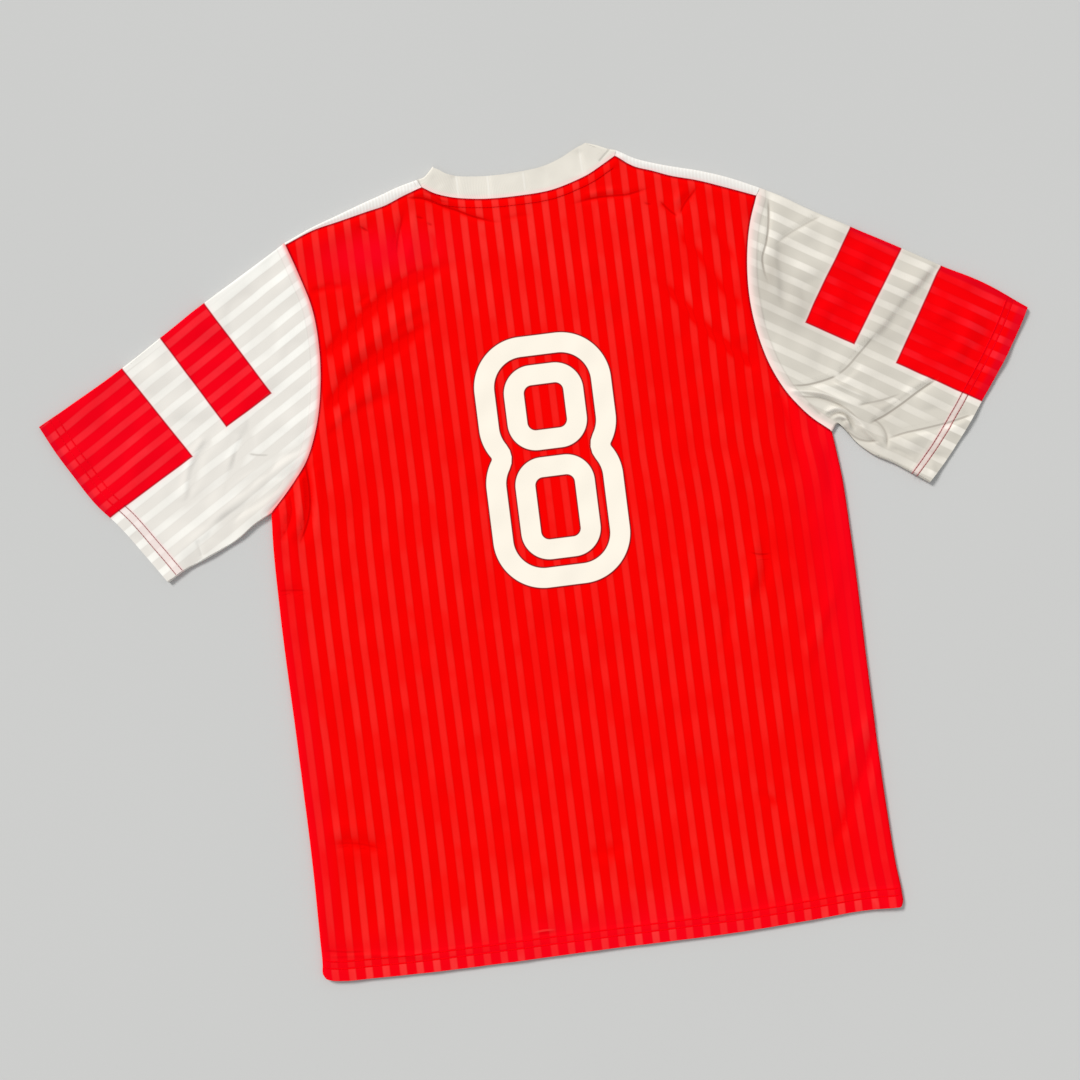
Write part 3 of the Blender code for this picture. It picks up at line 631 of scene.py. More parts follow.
class FoldField:
    """Many folds at once, as a height and as a sideways slip of the cloth over the plan."""

    PATH_STEPS = 20
    # Where a fold's strength starts to rise, as a part of its line
    FADE_START = -0.02
    SHARP_REACH = 0.0055
    # Part of its reach up to which a sharp crease keeps its full darkness
    SHARP_CORE = 0.5
    REACH = 3.0
    RIDGE_SLIP = 0.5
    TROUGH_SLIP = 0.8
    SLIP_REACH = 2.2
    RIDGE_POWER = 2.0
    TROUGH_POWER = 1.3
    SHARP_BELOW = 3.0

    def __init__(self, folds: tuple[Fold, ...]) -> None:
        """Keeps folds whose places are in millimetres of the plan."""
        self.paths = [smooth(np.array(fold.places) * MM, even(self.PATH_STEPS)) for fold in folds]
        self.folds = folds

    def measure(self, places: Array) -> tuple[Array, Array]:
        """Height and slip of the cloth at places of the plan.

        Args:
            places: Places across and up, one row each.

        Returns:
            The height over the plain layer, and how far the cloth's own place has slipped.
        """
        height = np.zeros(len(places))
        slip = np.zeros((len(places), 2))
        for fold, path in zip(self.folds, self.paths):
            reach = self.REACH * self.SLIP_REACH * max(fold.left, fold.right) * MM
            near = self._around(places, path, reach)
            if not len(near):
                continue
            gap, part, side = self._nearest(places[near], path)
            spread = np.where(gap > 0.0, fold.left, fold.right) * MM
            strength = self._strength(fold, part)
            sharp = fold.rise < 0.0 and min(fold.left, fold.right) < self.SHARP_BELOW
            power = self.TROUGH_POWER if sharp else self.RIDGE_POWER
            height[near] += fold.rise * MM * strength * np.exp(-np.abs(gap / spread) ** power)
            wide = gap / (spread * self.SLIP_REACH)
            if fold.rise < 0.0:
                pull = self.TROUGH_SLIP * np.tanh(gap / MM) * np.exp(-np.abs(wide))
            else:
                pull = self.RIDGE_SLIP * wide * np.exp(-(wide ** 2))
            pull *= abs(fold.rise) * MM * strength
            slip[near] += pull[:, None] * side
        return height, slip

    def sharp(self, places: Array) -> Array:
        """Sharp creases at places of the plan, along which painted shade and painted highlights are drawn.

        Args:
            places: Places across and up, one row each.

        Returns:
            The signed gap to the nearest crease and how dark it is, one row for each place.
        """
        lines = np.zeros((len(places), 2))
        lines[:, 0] = self.SHARP_REACH
        for fold, path in zip(self.folds, self.paths):
            near = self._around(places, path, self.SHARP_REACH)
            if not len(near):
                continue
            gap, part, _ = self._nearest(places[near], path)
            closer = np.abs(gap) < np.abs(lines[near, 0])
            dark = self._strength(fold, part) * fold.dark
            dark *= 1.0 - ease(np.abs(gap), self.SHARP_REACH * self.SHARP_CORE, self.SHARP_REACH)
            lines[near[closer]] = np.stack((gap, dark), axis=1)[closer]
        return lines

    def _strength(self, fold: Fold, part: Array) -> Array:
        """Strength of a fold at parts of its line, less towards its ends."""
        return ease(part, self.FADE_START, fold.fade_in) * ease(1.0 - part, self.FADE_START, fold.fade_out)

    @staticmethod
    def _around(places: Array, path: Array, reach: float) -> Array:
        """Numbers of the places inside a path's box, widened by a reach."""
        inside = (places > path.min(axis=0) - reach) & (places < path.max(axis=0) + reach)
        return np.flatnonzero(np.all(inside, axis=1))

    @staticmethod
    def _nearest(places: Array, path: Array) -> tuple[Array, Array, Array]:
        """Nearest point of a path to each place.

        Args:
            places: Places across and up, one row each.
            path: Corners of the path.

        Returns:
            The signed gap to the path, the part of it gone, and the direction to its left.
        """
        best = np.full(len(places), np.inf)
        gap = np.zeros(len(places))
        part = np.zeros(len(places))
        side = np.zeros((len(places), 2))
        spans = len(path) - 1
        for index in range(spans):
            run = path[index + 1] - path[index]
            offset = places - path[index]
            gone = np.clip(offset @ run / (run @ run), 0.0, 1.0)
            away = offset - gone[:, None] * run
            distance = np.linalg.norm(away, axis=1)
            closer = distance < best
            left = np.array((-run[1], run[0])) / np.linalg.norm(run)
            best[closer] = distance[closer]
            gap[closer] = (distance * np.sign(away @ left + TINY))[closer]
            part[closer] = ((index + gone) / spans)[closer]
            side[closer] = left
        return gap, part, side


def crease_layers(folds: tuple[Fold, ...]) -> list[FoldField]:
    """Share sharp creases out so that those of one field lie well apart.

    Args:
        folds: All the sharp creases.

    Returns:
        One field for each layer of the finish.
    """
    apart = 2.0 * FoldField.SHARP_REACH
    layers: list[list[Fold]] = [[] for _ in CREASE_LAYERS]
    lines: list[list[Array]] = [[] for _ in CREASE_LAYERS]
    for fold, path in zip(folds, FoldField(folds).paths):
        gaps = [min([apart, *(np.linalg.norm(path[:, None] - line, axis=2).min() for line in kept)])
                for kept in lines]
        chosen = int(np.argmax(gaps))
        layers[chosen].append(fold)
        lines[chosen].append(path)
    return [FoldField(tuple(layer)) for layer in layers]


def nearest_gap(tree: KDTree, places: Array) -> Array:
    """Distance from each place to the nearest point of a tree."""
    return np.array([tree.find((across, up, 0.0))[2] for across, up in places])


def point_tree(points: Array) -> KDTree:
    """Search tree of points in plan.

    Args:
        points: Places across and up, one row each.

    Returns:
        The tree.
    """
    tree = KDTree(len(points))
    for index, (across, up) in enumerate(points):
        tree.insert((across, up, 0.0), index)
    tree.balance()
    return tree


class Roll(NamedTuple):
    """Cloth that turns over along a folded edge: places of its axis, its radii, and where it faces."""

    centres: Array
    radii: Array
    outward: Array


class TopLayer(NamedTuple):
    """Top layer of cloth: its height, its slip, and its columns from the gleam on."""

    height: Array
    slip: Array
    details: Array


class Spot(NamedTuple):
    """A soft oval patch in millimetres, with how strong it is."""

    across: float
    up: float
    half_width: float
    half_height: float
    amount: float


def spot_sum(places: Array, spots: tuple[Spot, ...]) -> Array:
    """Add up soft patches.

    Args:
        places: Places in metres, in rows of any shape.
        spots: The patches.

    Returns:
        The sum at each place.
    """
    total = np.zeros(places.shape[:-1])
    for spot in spots:
        middle, half = np.array((spot[0:2], spot[2:4])) * MM
        total += spot.amount * np.exp(-np.sum(((places - middle) / half) ** 2, axis=-1))
    return total


# Painted sheen: how much more or less the satin stripes gleam, where they catch the light or face away from
# it
SHEEN_SPOTS = (
    Spot(-62, 722, 205, 105, 1.05), Spot(170, 705, 90, 55, 0.20), Spot(-250, 330, 60, 330, 0.35),
    Spot(0, 8, 340, 62, 0.95), Spot(264, 345, 34, 140, -0.9), Spot(208, 372, 16, 36, -0.75),
    Spot(172, 330, 9, 24, 0.9), Spot(243, 288, 12, 26, 0.7), Spot(272, 168, 9, 22, 0.8),
    Spot(216, 62, 12, 30, 0.5), Spot(-262, 250, 9, 16, 0.5), Spot(-248, 118, 14, 9, -0.6),
    Spot(470, 574, 26, 16, 1.2), Spot(418, 610, 20, 8, 0.8), Spot(400, 560, 26, 40, -0.6),
    Spot(318, 592, 30, 22, -0.6), Spot(345, 655, 24, 10, 0.5), Spot(452, 540, 14, 26, 0.7),
)
# Where the red leans to crimson
CRIMSONS = (
    Spot(288, 380, 48, 420, 0.6), Spot(0, -6, 400, 40, 0.6), Spot(-150, 705, 60, 22, 0.8),
    Spot(-292, 200, 26, 260, 0.5),
)
# Painted shade: where the white of a sleeve is drawn greyer, down from its top fold and along it
SHADE_SPOTS = {
    Hand.LEFT: (Spot(200, 150, 14, 120, 0.20),),
    Hand.RIGHT: (Spot(92, 70, 30, 50, 0.40), Spot(62, 172, 50, 22, 0.25), Spot(196, 150, 22, 120, 0.25),
                 Spot(66, 44, 26, 9, 0.45), Spot(150, 200, 26, 14, 0.25)),
}


@dataclass
class Lie:
    """How the two layers of cloth lie on each other, in metres."""

    plan: Plan
    cloth: float = 0.0012
    seam: float = 0.0003
    edge_lift: float = 0.0012
    edge_reach: float = 0.022
    loft: float = 0.0010
    loft_reach: float = 0.0032
    white_press: float = 0.65
    tape_depth: float = 0.0086
    tape_soft: float = 0.0008
    tape_rise: float = 0.0006
    allowance_soft: float = 0.0010
    # On the left and on the right
    allowance_rises: tuple[float, float] = (0.0003, 0.0007)
    hem_turn: float = 0.0205
    hem_soft: tuple[float, float] = (0.0010, 0.0015)
    hem_rise: float = 0.0005
    row_sink: float = 0.00022
    row_half: float = 0.0010
    ripple_seed: int = 8
    ripple_waves: int = 16
    ripple_lengths: tuple[float, float] = (0.018, 0.075)
    ripple_rise: float = 0.00022
    ripple_reach: float = 0.012
    # Share of the ripples on the body, and how much more there is on the sleeves
    ripple_shares: tuple[float, float] = (0.5, 1.2)
    press: float = 0.00012
    # Painted sheen: the satin stripes are drawn dimmer in troughs and brighter on ridges, up to a most
    fold_scale: float = 0.0011
    trough_dim: float = 0.95
    ridge_gleam: float = 0.55
    most_gleam: float = 2.4
    tree_steps: int = 400
    cuff_steps: int = 60
    roll_rounds: int = 3
    sleeves: dict[Hand, SleeveFrame] = field(init=False)

    def __post_init__(self) -> None:
        """Prepares the folds and the search trees."""
        self.floor_mid = self.cloth / 2
        self.top_mid = self.cloth + self.seam + self.cloth / 2
        self.sleeves = {hand: sleeve_frame(self.plan, hand) for hand in Hand}
        folds = [*BACK_FOLDS, *NECK_FOLDS, *SLEEVE_CREASES]
        for hand, rows in ((Hand.LEFT, LEFT_SLEEVE_FOLDS), (Hand.RIGHT, RIGHT_SLEEVE_FOLDS)):
            folds.extend(self._on_plan(hand, fold) for fold in rows)
        self.top_folds = FoldField(tuple(folds))
        self.floor_folds = FoldField(FLOOR_FOLDS)
        self.sharp_creases = crease_layers(tuple(fold for fold in folds if fold.dark))
        self.outline_tree = point_tree(self.plan.outline(self.tree_steps))
        self.seam_tree = point_tree(self.plan.seams(self.tree_steps))
        self.neck_tree = point_tree(self.plan.band_seam(even(self.tree_steps)))
        parts = even(self.tree_steps)
        self.armhole_tree = point_tree(np.concatenate([self.plan.armhole(hand, parts) for hand in Hand]))
        waves = np.random.default_rng(self.ripple_seed)
        lengths = waves.uniform(*self.ripple_lengths, self.ripple_waves)
        turns = waves.uniform(0.0, math.tau, self.ripple_waves)
        self.wave_vectors = math.tau / lengths[:, None] * np.stack((np.cos(turns), np.sin(turns)), axis=1)
        self.wave_starts = waves.uniform(0.0, math.tau, self.ripple_waves)
        self.wave_rises = self.ripple_rise * lengths / lengths.max()

    def _on_plan(self, hand: Hand, fold: Fold) -> Fold:
        """A sleeve's fold with its places in plan."""
        places = self.sleeves[hand].plan(np.array(fold.places) * MM) / MM
        left, right = (fold.left, fold.right) if hand is Hand.RIGHT else (fold.right, fold.left)
        return fold._replace(places=tuple(map(tuple, places)), left=left, right=right)

    def ripple(self, places: Array) -> Array:
        """Faint uneven waves of cloth that has been smoothed by hand."""
        return np.sin(places @ self.wave_vectors.T + self.wave_starts) @ self.wave_rises

    def turned(self, places: Array, on_sleeve: Array) -> Array:
        """Distance inside the hem, or inside the cuff on a sleeve.

        Args:
            places: Places across and up, one row each.
            on_sleeve: 1 for each place that is on a sleeve.

        Returns:
            The distance, counted so that the outer stitch row of a cuff is at the same distance
            all the way round.
        """
        rows = np.array(self.plan.hem) * MM
        gap = places[:, 1] - np.interp(places[:, 0], rows[:, 0], rows[:, 1])
        for hand in Hand:
            here = (on_sleeve > 0.5) & (places[:, 0] * hand.value > 0.0)
            down, along = self.sleeves[hand].cloth(places[here]).T
            edge = self.sleeves[hand].cloth(self.plan.cuff(hand, even(self.cuff_steps)))
            top, under = self.plan.cuff_row(hand, 0)
            part = down / edge[0, 0]
            offset = top * (1.0 - part) + under * part - self.plan.row_at
            gap[here] = np.interp(down, edge[::-1, 0], edge[::-1, 1]) - along - offset
        return gap

    def gleam(self, places: Array, folds: Array) -> Array:
        """Painted sheen: how much the satin stripes gleam, dimmer in troughs and brighter on ridges and in
        the sheen spots.

        Args:
            places: Places across and up, one row each.
            folds: Height of the folds at each.

        Returns:
            The gleam, which is 1 where the cloth lies plain.
        """
        part = np.clip(folds / self.fold_scale, -1.0, 1.0)
        gleam = 1.0 + part * np.where(part < 0.0, self.trough_dim, self.ridge_gleam)
        return np.clip(gleam * (1.0 + spot_sum(places, SHEEN_SPOTS)), 0.0, self.most_gleam)

    def top(self, places: Array) -> TopLayer:
        """Top layer of cloth.

        Args:
            places: Rows and columns of places in plan.

        Returns:
            The layer at the same rows and columns.
        """
        flat = places.reshape(-1, 2)
        folds, slip = self.top_folds.measure(flat)
        edge = nearest_gap(self.outline_tree, flat)
        seam = nearest_gap(self.seam_tree, flat)
        on_sleeve = self.on_sleeve(flat)
        below_neck = self.below_neck(flat)
        white = np.maximum(on_sleeve, 1.0 - below_neck)
        height = self.edge_lift * np.exp(-(edge / self.edge_reach) ** 2)
        lofted = self.loft * (1.0 - self.white_press * white)
        height += lofted * (1.0 - np.exp(-(seam / self.loft_reach) ** 2))
        turned = self.turned(flat, on_sleeve)
        height += self._doubled(flat, turned, below_neck, on_sleeve)
        low, more = self.ripple_shares
        height += self.ripple(flat) * ease(seam, 0.0, self.ripple_reach) * (low + more * on_sleeve) + folds
        pressed = self.press * np.logaddexp(0.0, height / self.press)
        shape = places.shape[:-1]
        sharp = [creases.sharp(flat) for creases in self.sharp_creases]
        plain = np.stack((self.gleam(flat, folds), turned, seam), axis=1)
        details = np.concatenate((plain, *sharp), axis=1).reshape(*shape, -1)
        return TopLayer((self.top_mid + pressed).reshape(shape), slip.reshape(places.shape), details)

    def _doubled(self, flat: Array, turned: Array, below_neck: Array, on_sleeve: Array) -> Array:
        """Rise where cloth lies double: neck tape, seam allowances and hems, with sunk stitch rows.

        Args:
            flat: Places across and up, one row each.
            turned: Distance inside the hem or cuff at each.
            below_neck: 1 for each place below the neckband's seam.
            on_sleeve: 1 for each place that is on a sleeve.

        Returns:
            The rise at each place.
        """
        neck = nearest_gap(self.neck_tree, flat)
        armhole = nearest_gap(self.armhole_tree, flat)
        tape = 1.0 - ease(neck, self.tape_depth - self.tape_soft, self.tape_depth + self.tape_soft)
        allowance = 1.0 - ease(armhole, ALLOWANCE - self.allowance_soft, ALLOWANCE + self.allowance_soft)
        hem = 1.0 - ease(turned, self.hem_turn - self.hem_soft[0], self.hem_turn + self.hem_soft[1])
        rise = self.tape_rise * below_neck * tape + self.hem_rise * hem
        rise += np.where(flat[:, 0] < 0.0, *self.allowance_rises) * on_sleeve * allowance
        for row in self.plan.stitch_rows:
            rise -= self.row_sink * np.exp(-((turned - row * MM) / self.row_half) ** 2)
        return rise

    def below_neck(self, places: Array) -> Array:
        """1 where a place is below the neckband's seam, and 0 above it."""
        seam = self.plan.band_seam(even(self.tree_steps))
        return (places[:, 1] < np.interp(places[:, 0], seam[:, 0], seam[:, 1])).astype(float)

    def on_sleeve(self, places: Array) -> Array:
        """Tell the sleeves from the body.

        Args:
            places: Places across and up, one row each.

        Returns:
            1 where a place is outside the armhole seams, and 0 on the body.
        """
        outside = np.zeros(len(places))
        for hand in Hand:
            seam = self.plan.armhole(hand, even(self.tree_steps))
            order = np.argsort(seam[:, 1])
            edge = np.interp(places[:, 1], seam[order, 1], seam[order, 0] * hand.value)
            below = np.maximum(seam[:, 1].min() - places[:, 1], 0.0)
            outside[places[:, 0] * hand.value > edge + below] = 1.0
        return outside

    def floor(self, places: Array) -> Array:
        """Height of the middle of the floor layer's wall."""
        height, _ = self.floor_folds.measure(places.reshape(-1, 2))
        return self.floor_mid + height.reshape(places.shape[:-1])

    def roll(self, edge: Array, outward: Array) -> Roll:
        """Fit a roll to a folded edge.

        Args:
            edge: Places that its outer side reaches.
            outward: The way that it faces in plan.

        Returns:
            The roll.
        """
        centres = edge
        for _ in range(self.roll_rounds):
            radii = (self.top(centres).height - self.floor_mid) / 2
            centres = edge - outward * (radii + self.cloth / 2)[:, None]
        return Roll(centres, radii, outward)


# ---- Sheets and meshes ----

def sheet_of(middle: Array, outward: Any, cloth: Array, tint: Any = 0.0, details: Any = PLAIN) -> Array:
    """Put together all that a sheet holds at its rows and columns.

    Args:
        middle: Middle of the wall.
        outward: The way out of it.
        cloth: Place on the cloth.
        tint: Tint at each place: crimson on the red, painted shade on a sleeve's white.
        details: The columns from the gleam on.

    Returns:
        Rows and columns of the sheet.
    """
    sheet = np.zeros((*middle.shape[:-1], COLUMNS))
    sheet[..., MIDDLE] = middle
    sheet[..., OUTWARD] = outward
    sheet[..., CLOTH_AT] = cloth
    sheet[..., TINT] = tint
    sheet[..., GLEAM:] = details
    return sheet


def with_height(places: Array, height: Array) -> Array:
    """Places in plan with their height."""
    return np.concatenate((places, height[..., None]), axis=-1)


def roll_sheet(roll: Roll, floor: float, steps: int, start: Array, end: Array) -> Array:
    """Wall that turns over from the top layer to the floor layer, without its two ends.

    Args:
        roll: The roll that it follows.
        floor: Height of the middle of the floor layer.
        steps: Number of steps round it.
        start: The sheet's columns at the top layer, one row for each centre of the roll.
        end: The same at the floor layer.

    Returns:
        Rows along the roll and columns round it.
    """
    parts = even(steps)[1:-1]
    angles = math.pi * (0.5 - parts)
    level = np.cos(angles)[None, :, None] * roll.outward[:, None, :]
    rise = np.broadcast_to(np.sin(angles)[None, :, None], (*level.shape[:2], 1))
    facing = np.concatenate((level, rise), axis=-1)
    axis = with_height(roll.centres, floor + roll.radii)
    sheet = start[:, None] + (end - start)[:, None] * parts[None, :, None]
    sheet[..., MIDDLE] = axis[:, None, :] + roll.radii[:, None, None] * facing
    sheet[..., OUTWARD] = facing
    return sheet


def wall_faces(rows: int, columns: int, kept: Array, ring: bool) -> tuple[Array, Array, Array]:
    """Corner numbers of a wall's outside, inside and cut edges.

    Args:
        rows: Number of rows.
        columns: Number of columns.
        kept: Whether each place has cloth.
        ring: Whether the last row joins the first.

    Returns:
        Three arrays of four corners a face.
    """
    count = rows * columns
    number = np.arange(count).reshape(rows, columns)
    if ring:
        number = np.concatenate((number, number[:1]))
    quads = np.stack((number[:-1, :-1], number[1:, :-1], number[1:, 1:], number[:-1, 1:]), axis=-1)
    quads = quads.reshape(-1, 4)
    outside = quads[kept.reshape(-1)[quads].all(axis=1)]
    inside = outside[:, ::-1] + count
    edges = np.concatenate([outside[:, (corner, (corner + 1) % 4)] for corner in range(4)])
    keys = edges[:, 0] * count + edges[:, 1]
    opposite = edges[:, 1] * count + edges[:, 0]
    rim = edges[~np.isin(opposite, keys)]
    cut = np.stack((rim[:, 1], rim[:, 0], rim[:, 0] + count, rim[:, 1] + count), axis=1)
    return outside, inside, cut


def wall(name: str, sheet: Array, thickness: float, kept: Union[Array, None] = None,
         ring: bool = False) -> Piece:
    """Closed shell of one wall thickness.

    Args:
        name: Name of the new piece.
        sheet: Rows and columns of the sheet.
        thickness: Distance between its outside and its inside.
        kept: Whether each place has cloth, or None if all have.
        ring: Whether the last row joins the first.

    Returns:
        The new piece, in the row's frame.
    """
    rows, columns = sheet.shape[:2]
    if kept is None:
        kept = np.ones((rows, columns), dtype=bool)
    flat = sheet.reshape(-1, COLUMNS)
    middle, outward = flat[:, MIDDLE], flat[:, OUTWARD]
    outside, inside, cut = wall_faces(rows, columns, kept, ring)
    corners = middle[outside]
    normals = np.cross(corners[:, 2] - corners[:, 0], corners[:, 3] - corners[:, 1])
    if np.sum(normals * outward[outside[:, 0]]) < 0.0:
        outside, inside, cut = outside[:, ::-1], inside[:, ::-1], cut[:, ::-1]
    vertices = np.concatenate((middle + outward * thickness / 2, middle - outward * thickness / 2))
    details = np.concatenate((flat, flat))[:, CLOTH_AT.start:]
    faces = np.concatenate((outside, inside, cut))
    used, faces = np.unique(faces, return_inverse=True)
    return placed(name, vertices[used], faces.reshape(-1, 4), details[used])


def add_object(name: str, data: bpy.types.ID) -> Piece:
    """Put something into the scene.

    Args:
        name: Name of the new object.
        data: Its mesh, light or camera.

    Returns:
        The new object.
    """
    made = bpy.data.objects.new(name, data)
    bpy.context.scene.collection.objects.link(made)
    return made


def placed(name: str, vertices: Array, faces: Array, details: Array) -> Piece:
    """Put a mesh into the scene.

    Args:
        name: Name of the new piece.
        vertices: Its corners, measured from the middle of the hem.
        faces: Corner numbers of its faces.
        details: Columns of the sheet from the place on the cloth onwards, at each corner.

    Returns:
        The new piece, in the row's frame.
    """
    mesh = bpy.data.meshes.new(name)
    moved = vertices + (*HEM_MIDDLE, 0.0)
    mesh.from_pydata(moved.tolist(), [], faces.tolist())
    corner = np.zeros(len(mesh.loops), dtype=np.int32)
    mesh.loops.foreach_get("vertex_index", corner)
    layer = mesh.uv_layers.new(name=CLOTH_MAP)
    layer.data.foreach_set("uv", details[corner, :2].astype(np.float32).reshape(-1))
    for title, column in DETAILS.items():
        values = mesh.attributes.new(title, "FLOAT", "POINT")
        values.data.foreach_set("value", details[:, column - CLOTH_AT.start].astype(np.float32))
    mesh.shade_smooth()
    mesh.set_sharp_from_angle(angle=SHARP_ANGLE)
    return add_object(name, mesh)


# ---- Shader graphs ----

Value = Union["Wire", float]


class Wire:
    """A number from a shader socket, which Python's operators work on."""

    def __init__(self, graph: "Graph", socket: Socket) -> None:
        """Wraps one output socket of a graph."""
        self.graph = graph
        self.socket = socket

    def __add__(self, other: Value) -> "Wire":
        """Sum."""
        return self.graph.maths("ADD", self, other)

    def __sub__(self, other: Value) -> "Wire":
        """Difference."""
        return self.graph.maths("SUBTRACT", self, other)

    def __rsub__(self, other: Value) -> "Wire":
        """Difference from a plain number."""
        return self.graph.maths("SUBTRACT", other, self)

    def __mul__(self, other: Value) -> "Wire":
        """Product."""
        return self.graph.maths("MULTIPLY", self, other)

    def __truediv__(self, other: Value) -> "Wire":
        """Quotient."""
        return self.graph.maths("DIVIDE", self, other)

    def __rtruediv__(self, other: Value) -> "Wire":
        """Quotient of a plain number."""
        return self.graph.maths("DIVIDE", other, self)

    def __abs__(self) -> "Wire":
        """Absolute value."""
        return self.graph.maths("ABSOLUTE", self)

    __radd__ = __add__
    __rmul__ = __mul__

    def fraction(self) -> "Wire":
        """Part after the point."""
        return self.graph.maths("FRACT", self)

    def sine(self) -> "Wire":
        """Sine of an angle in radians."""
        return self.graph.maths("SINE", self)

    def least(self, other: Value) -> "Wire":
        """The smaller of two numbers."""
        return self.graph.maths("MINIMUM", self, other)

    def most(self, other: Value) -> "Wire":
        """The larger of two numbers."""
        return self.graph.maths("MAXIMUM", self, other)

    def clipped(self) -> "Wire":
        """The number kept between 0 and 1."""
        return self.most(0.0).least(1.0)


class Graph:
    """Node tree of one material, with its Principled shader."""

    # Part of a drawn line that is full, and half the width of a drawn crease
    LINE_CORE = 0.3
    CREASE_HALF = 0.0014
    # How strongly the painted shade of dark creases and the painted highlight of light ones are drawn
    CREASE_DARK = 0.55
    CREASE_LIGHT = 0.9
    GRAIN_STRENGTH = 0.5

    def __init__(self, name: str) -> None:
        """Starts a material of that name.

        Args:
            name: Name of the new material.
        """
        self.material = bpy.data.materials.new(name)
        self.material.use_nodes = True
        self.tree = self.material.node_tree
        self.shader = self.tree.nodes["Principled BSDF"]

    def node(self, kind: str, settings: Mapping[str, Any], inputs: Mapping[Any, Any]) -> bpy.types.Node:
        """Add any node.

        Args:
            kind: Its type without the leading words.
            settings: Its own settings, which are set first.
            inputs: Values or wires of its sockets, by name or number.

        Returns:
            The new node.
        """
        made = self.tree.nodes.new(f"ShaderNode{kind}")
        for title, value in settings.items():
            setattr(made, title, value)
        self.feed(made, inputs)
        return made

    def feed(self, node: bpy.types.Node, inputs: Mapping[Any, Any]) -> None:
        """Set or link sockets of a node.

        Args:
            node: The node.
            inputs: Values, wires or sockets, by the name or number of the node's own socket.
        """
        for title, value in inputs.items():
            source = value.socket if isinstance(value, Wire) else value
            if isinstance(source, Socket):
                self.tree.links.new(source, node.inputs[title])
            else:
                node.inputs[title].default_value = source

    def maths(self, operation: str, *values: Value) -> Wire:
        """Number from a Math node."""
        made = self.node("Math", {"operation": operation}, dict(enumerate(values)))
        return Wire(self, made.outputs[0])

    def blend(self, factor: Value, first: Any, second: Any) -> Socket:
        """Mix of two colours."""
        made = self.node("Mix", {"data_type": "RGBA"}, {"Factor": factor, 6: first, 7: second})
        return made.outputs[2]

    def ramp(self, value: Value, low: float, high: float) -> Wire:
        """Smooth step from 0 at low to 1 at high."""
        made = self.node("MapRange", {"interpolation_type": "SMOOTHSTEP"},
                         {"Value": value, "From Min": low, "From Max": high})
        return Wire(self, made.outputs["Result"])

    def step(self, value: Value, middle: float, soft: float) -> Wire:
        """Step from 0 to 1 that is soft on both sides of its middle."""
        return self.ramp(value, middle - soft, middle + soft)

    def line(self, value: Wire, half: float) -> Wire:
        """1 where a number is zero, down to 0 at half a width from there."""
        return 1.0 - self.ramp(abs(value), half * self.LINE_CORE, half)

    def creases(self) -> Wire:
        """How deep in a sharp crease a place is, up to 1, and below zero on a light one.

        Returns:
            The depth.
        """
        depth: Value = 0.0
        for layer in CREASE_LAYERS:
            lines = self.line(self.attribute(f"gap_{layer}"), self.CREASE_HALF)
            depth = lines * self.attribute(f"dark_{layer}") + depth
        return depth

    def creased(self, colour: Any, creases: Wire, dark: Colour, light: Colour) -> Socket:
        """Paint sharp creases into a colour: painted shade in dark ones and a painted highlight on light
        ones.

        Args:
            colour: The colour without them.
            creases: How deep in a crease each place is.
            dark: Colour of the painted shade in a dark crease.
            light: Colour of the painted highlight on a light one.

        Returns:
            The colour with its creases.
        """
        colour = self.blend((creases * self.CREASE_DARK).clipped(), colour, dark)
        return self.blend((creases * -self.CREASE_LIGHT).clipped(), colour, light)

    def seamed(self, colour: Any, edge: "SeamEdge") -> Socket:
        """A colour with its tint beside a seam: painted shadow on the red, and pink on the white.

        Args:
            colour: Colour away from the seam.
            edge: Look of the cloth beside a seam.

        Returns:
            The new colour.
        """
        beside_seam = 1.0 - self.ramp(self.attribute("seam"), edge.start, edge.reach)
        if edge.soft:
            beside_seam = beside_seam * beside_seam
        return self.blend(beside_seam * edge.most, colour, edge.colour)

    def attribute(self, name: str) -> Wire:
        """Number kept at the corners of the mesh."""
        made = self.node("Attribute", {"attribute_name": name}, {})
        return Wire(self, made.outputs["Fac"])

    def cloth(self) -> tuple[Wire, Wire]:
        """Place on the cloth across and along its stripes, in metres."""
        place = self.node("UVMap", {"uv_map": CLOTH_MAP}, {})
        parted = self.node("SeparateXYZ", {}, {0: place.outputs["UV"]})
        return Wire(self, parted.outputs["X"]), Wire(self, parted.outputs["Y"])

    def noise(self, scale: float, detail: float, stretch: tuple[float, ...] = (1.0, 1.0, 1.0)) -> Wire:
        """Soft noise over the piece.

        Args:
            scale: Number of its patches in a metre.
            detail: How much finer noise there is in it.
            stretch: Scale along each axis.

        Returns:
            A number from 0 to 1.
        """
        place = self.node("TexCoord", {}, {})
        sized = self.node("Mapping", {}, {"Vector": place.outputs["Object"], "Scale": stretch})
        made = self.node("TexNoise", {}, {"Vector": sized.outputs[0], "Scale": scale, "Detail": detail})
        return Wire(self, made.outputs[0])

    def finish(self, colour: Any, roughness: Value, height: Wire, depth: float, strength: float,
               constants: Mapping[str, Any]) -> Material:
        """Link the shader and return the material.

        Args:
            colour: Base colour.
            roughness: Roughness.
            height: Height of the fine relief, from 0 to 1.
            depth: Depth of that relief in metres.
            strength: How strongly it shows.
            constants: Sockets of the shader that are alike all over.

        Returns:
            The finished material.
        """
        relief = self.node("Bump", {}, {"Height": height, "Distance": depth, "Strength": strength})
        self.feed(self.shader, {"Base Color": colour, "Roughness": roughness,
                                "Normal": relief.outputs["Normal"], **constants})
        return self.material


def linear(*display: int) -> Colour:
    """Linear colour of a display colour in red, green and blue, by the sRGB curve.

    Returns:
        The colour, with an alpha of 1.
    """
    parts = (part / 255.0 for part in display)
    red, green, blue = (part / 12.92 if part <= 0.04045 else ((part + 0.055) / 1.055) ** 2.4
                        for part in parts)
    return red, green, blue, 1.0


def dimmed(colour: Colour, share: float) -> Colour:
    """A share of a colour."""
    red, green, blue, _ = colour
    return red * share, green * share, blue * share, 1.0


# ---- Finishes ----

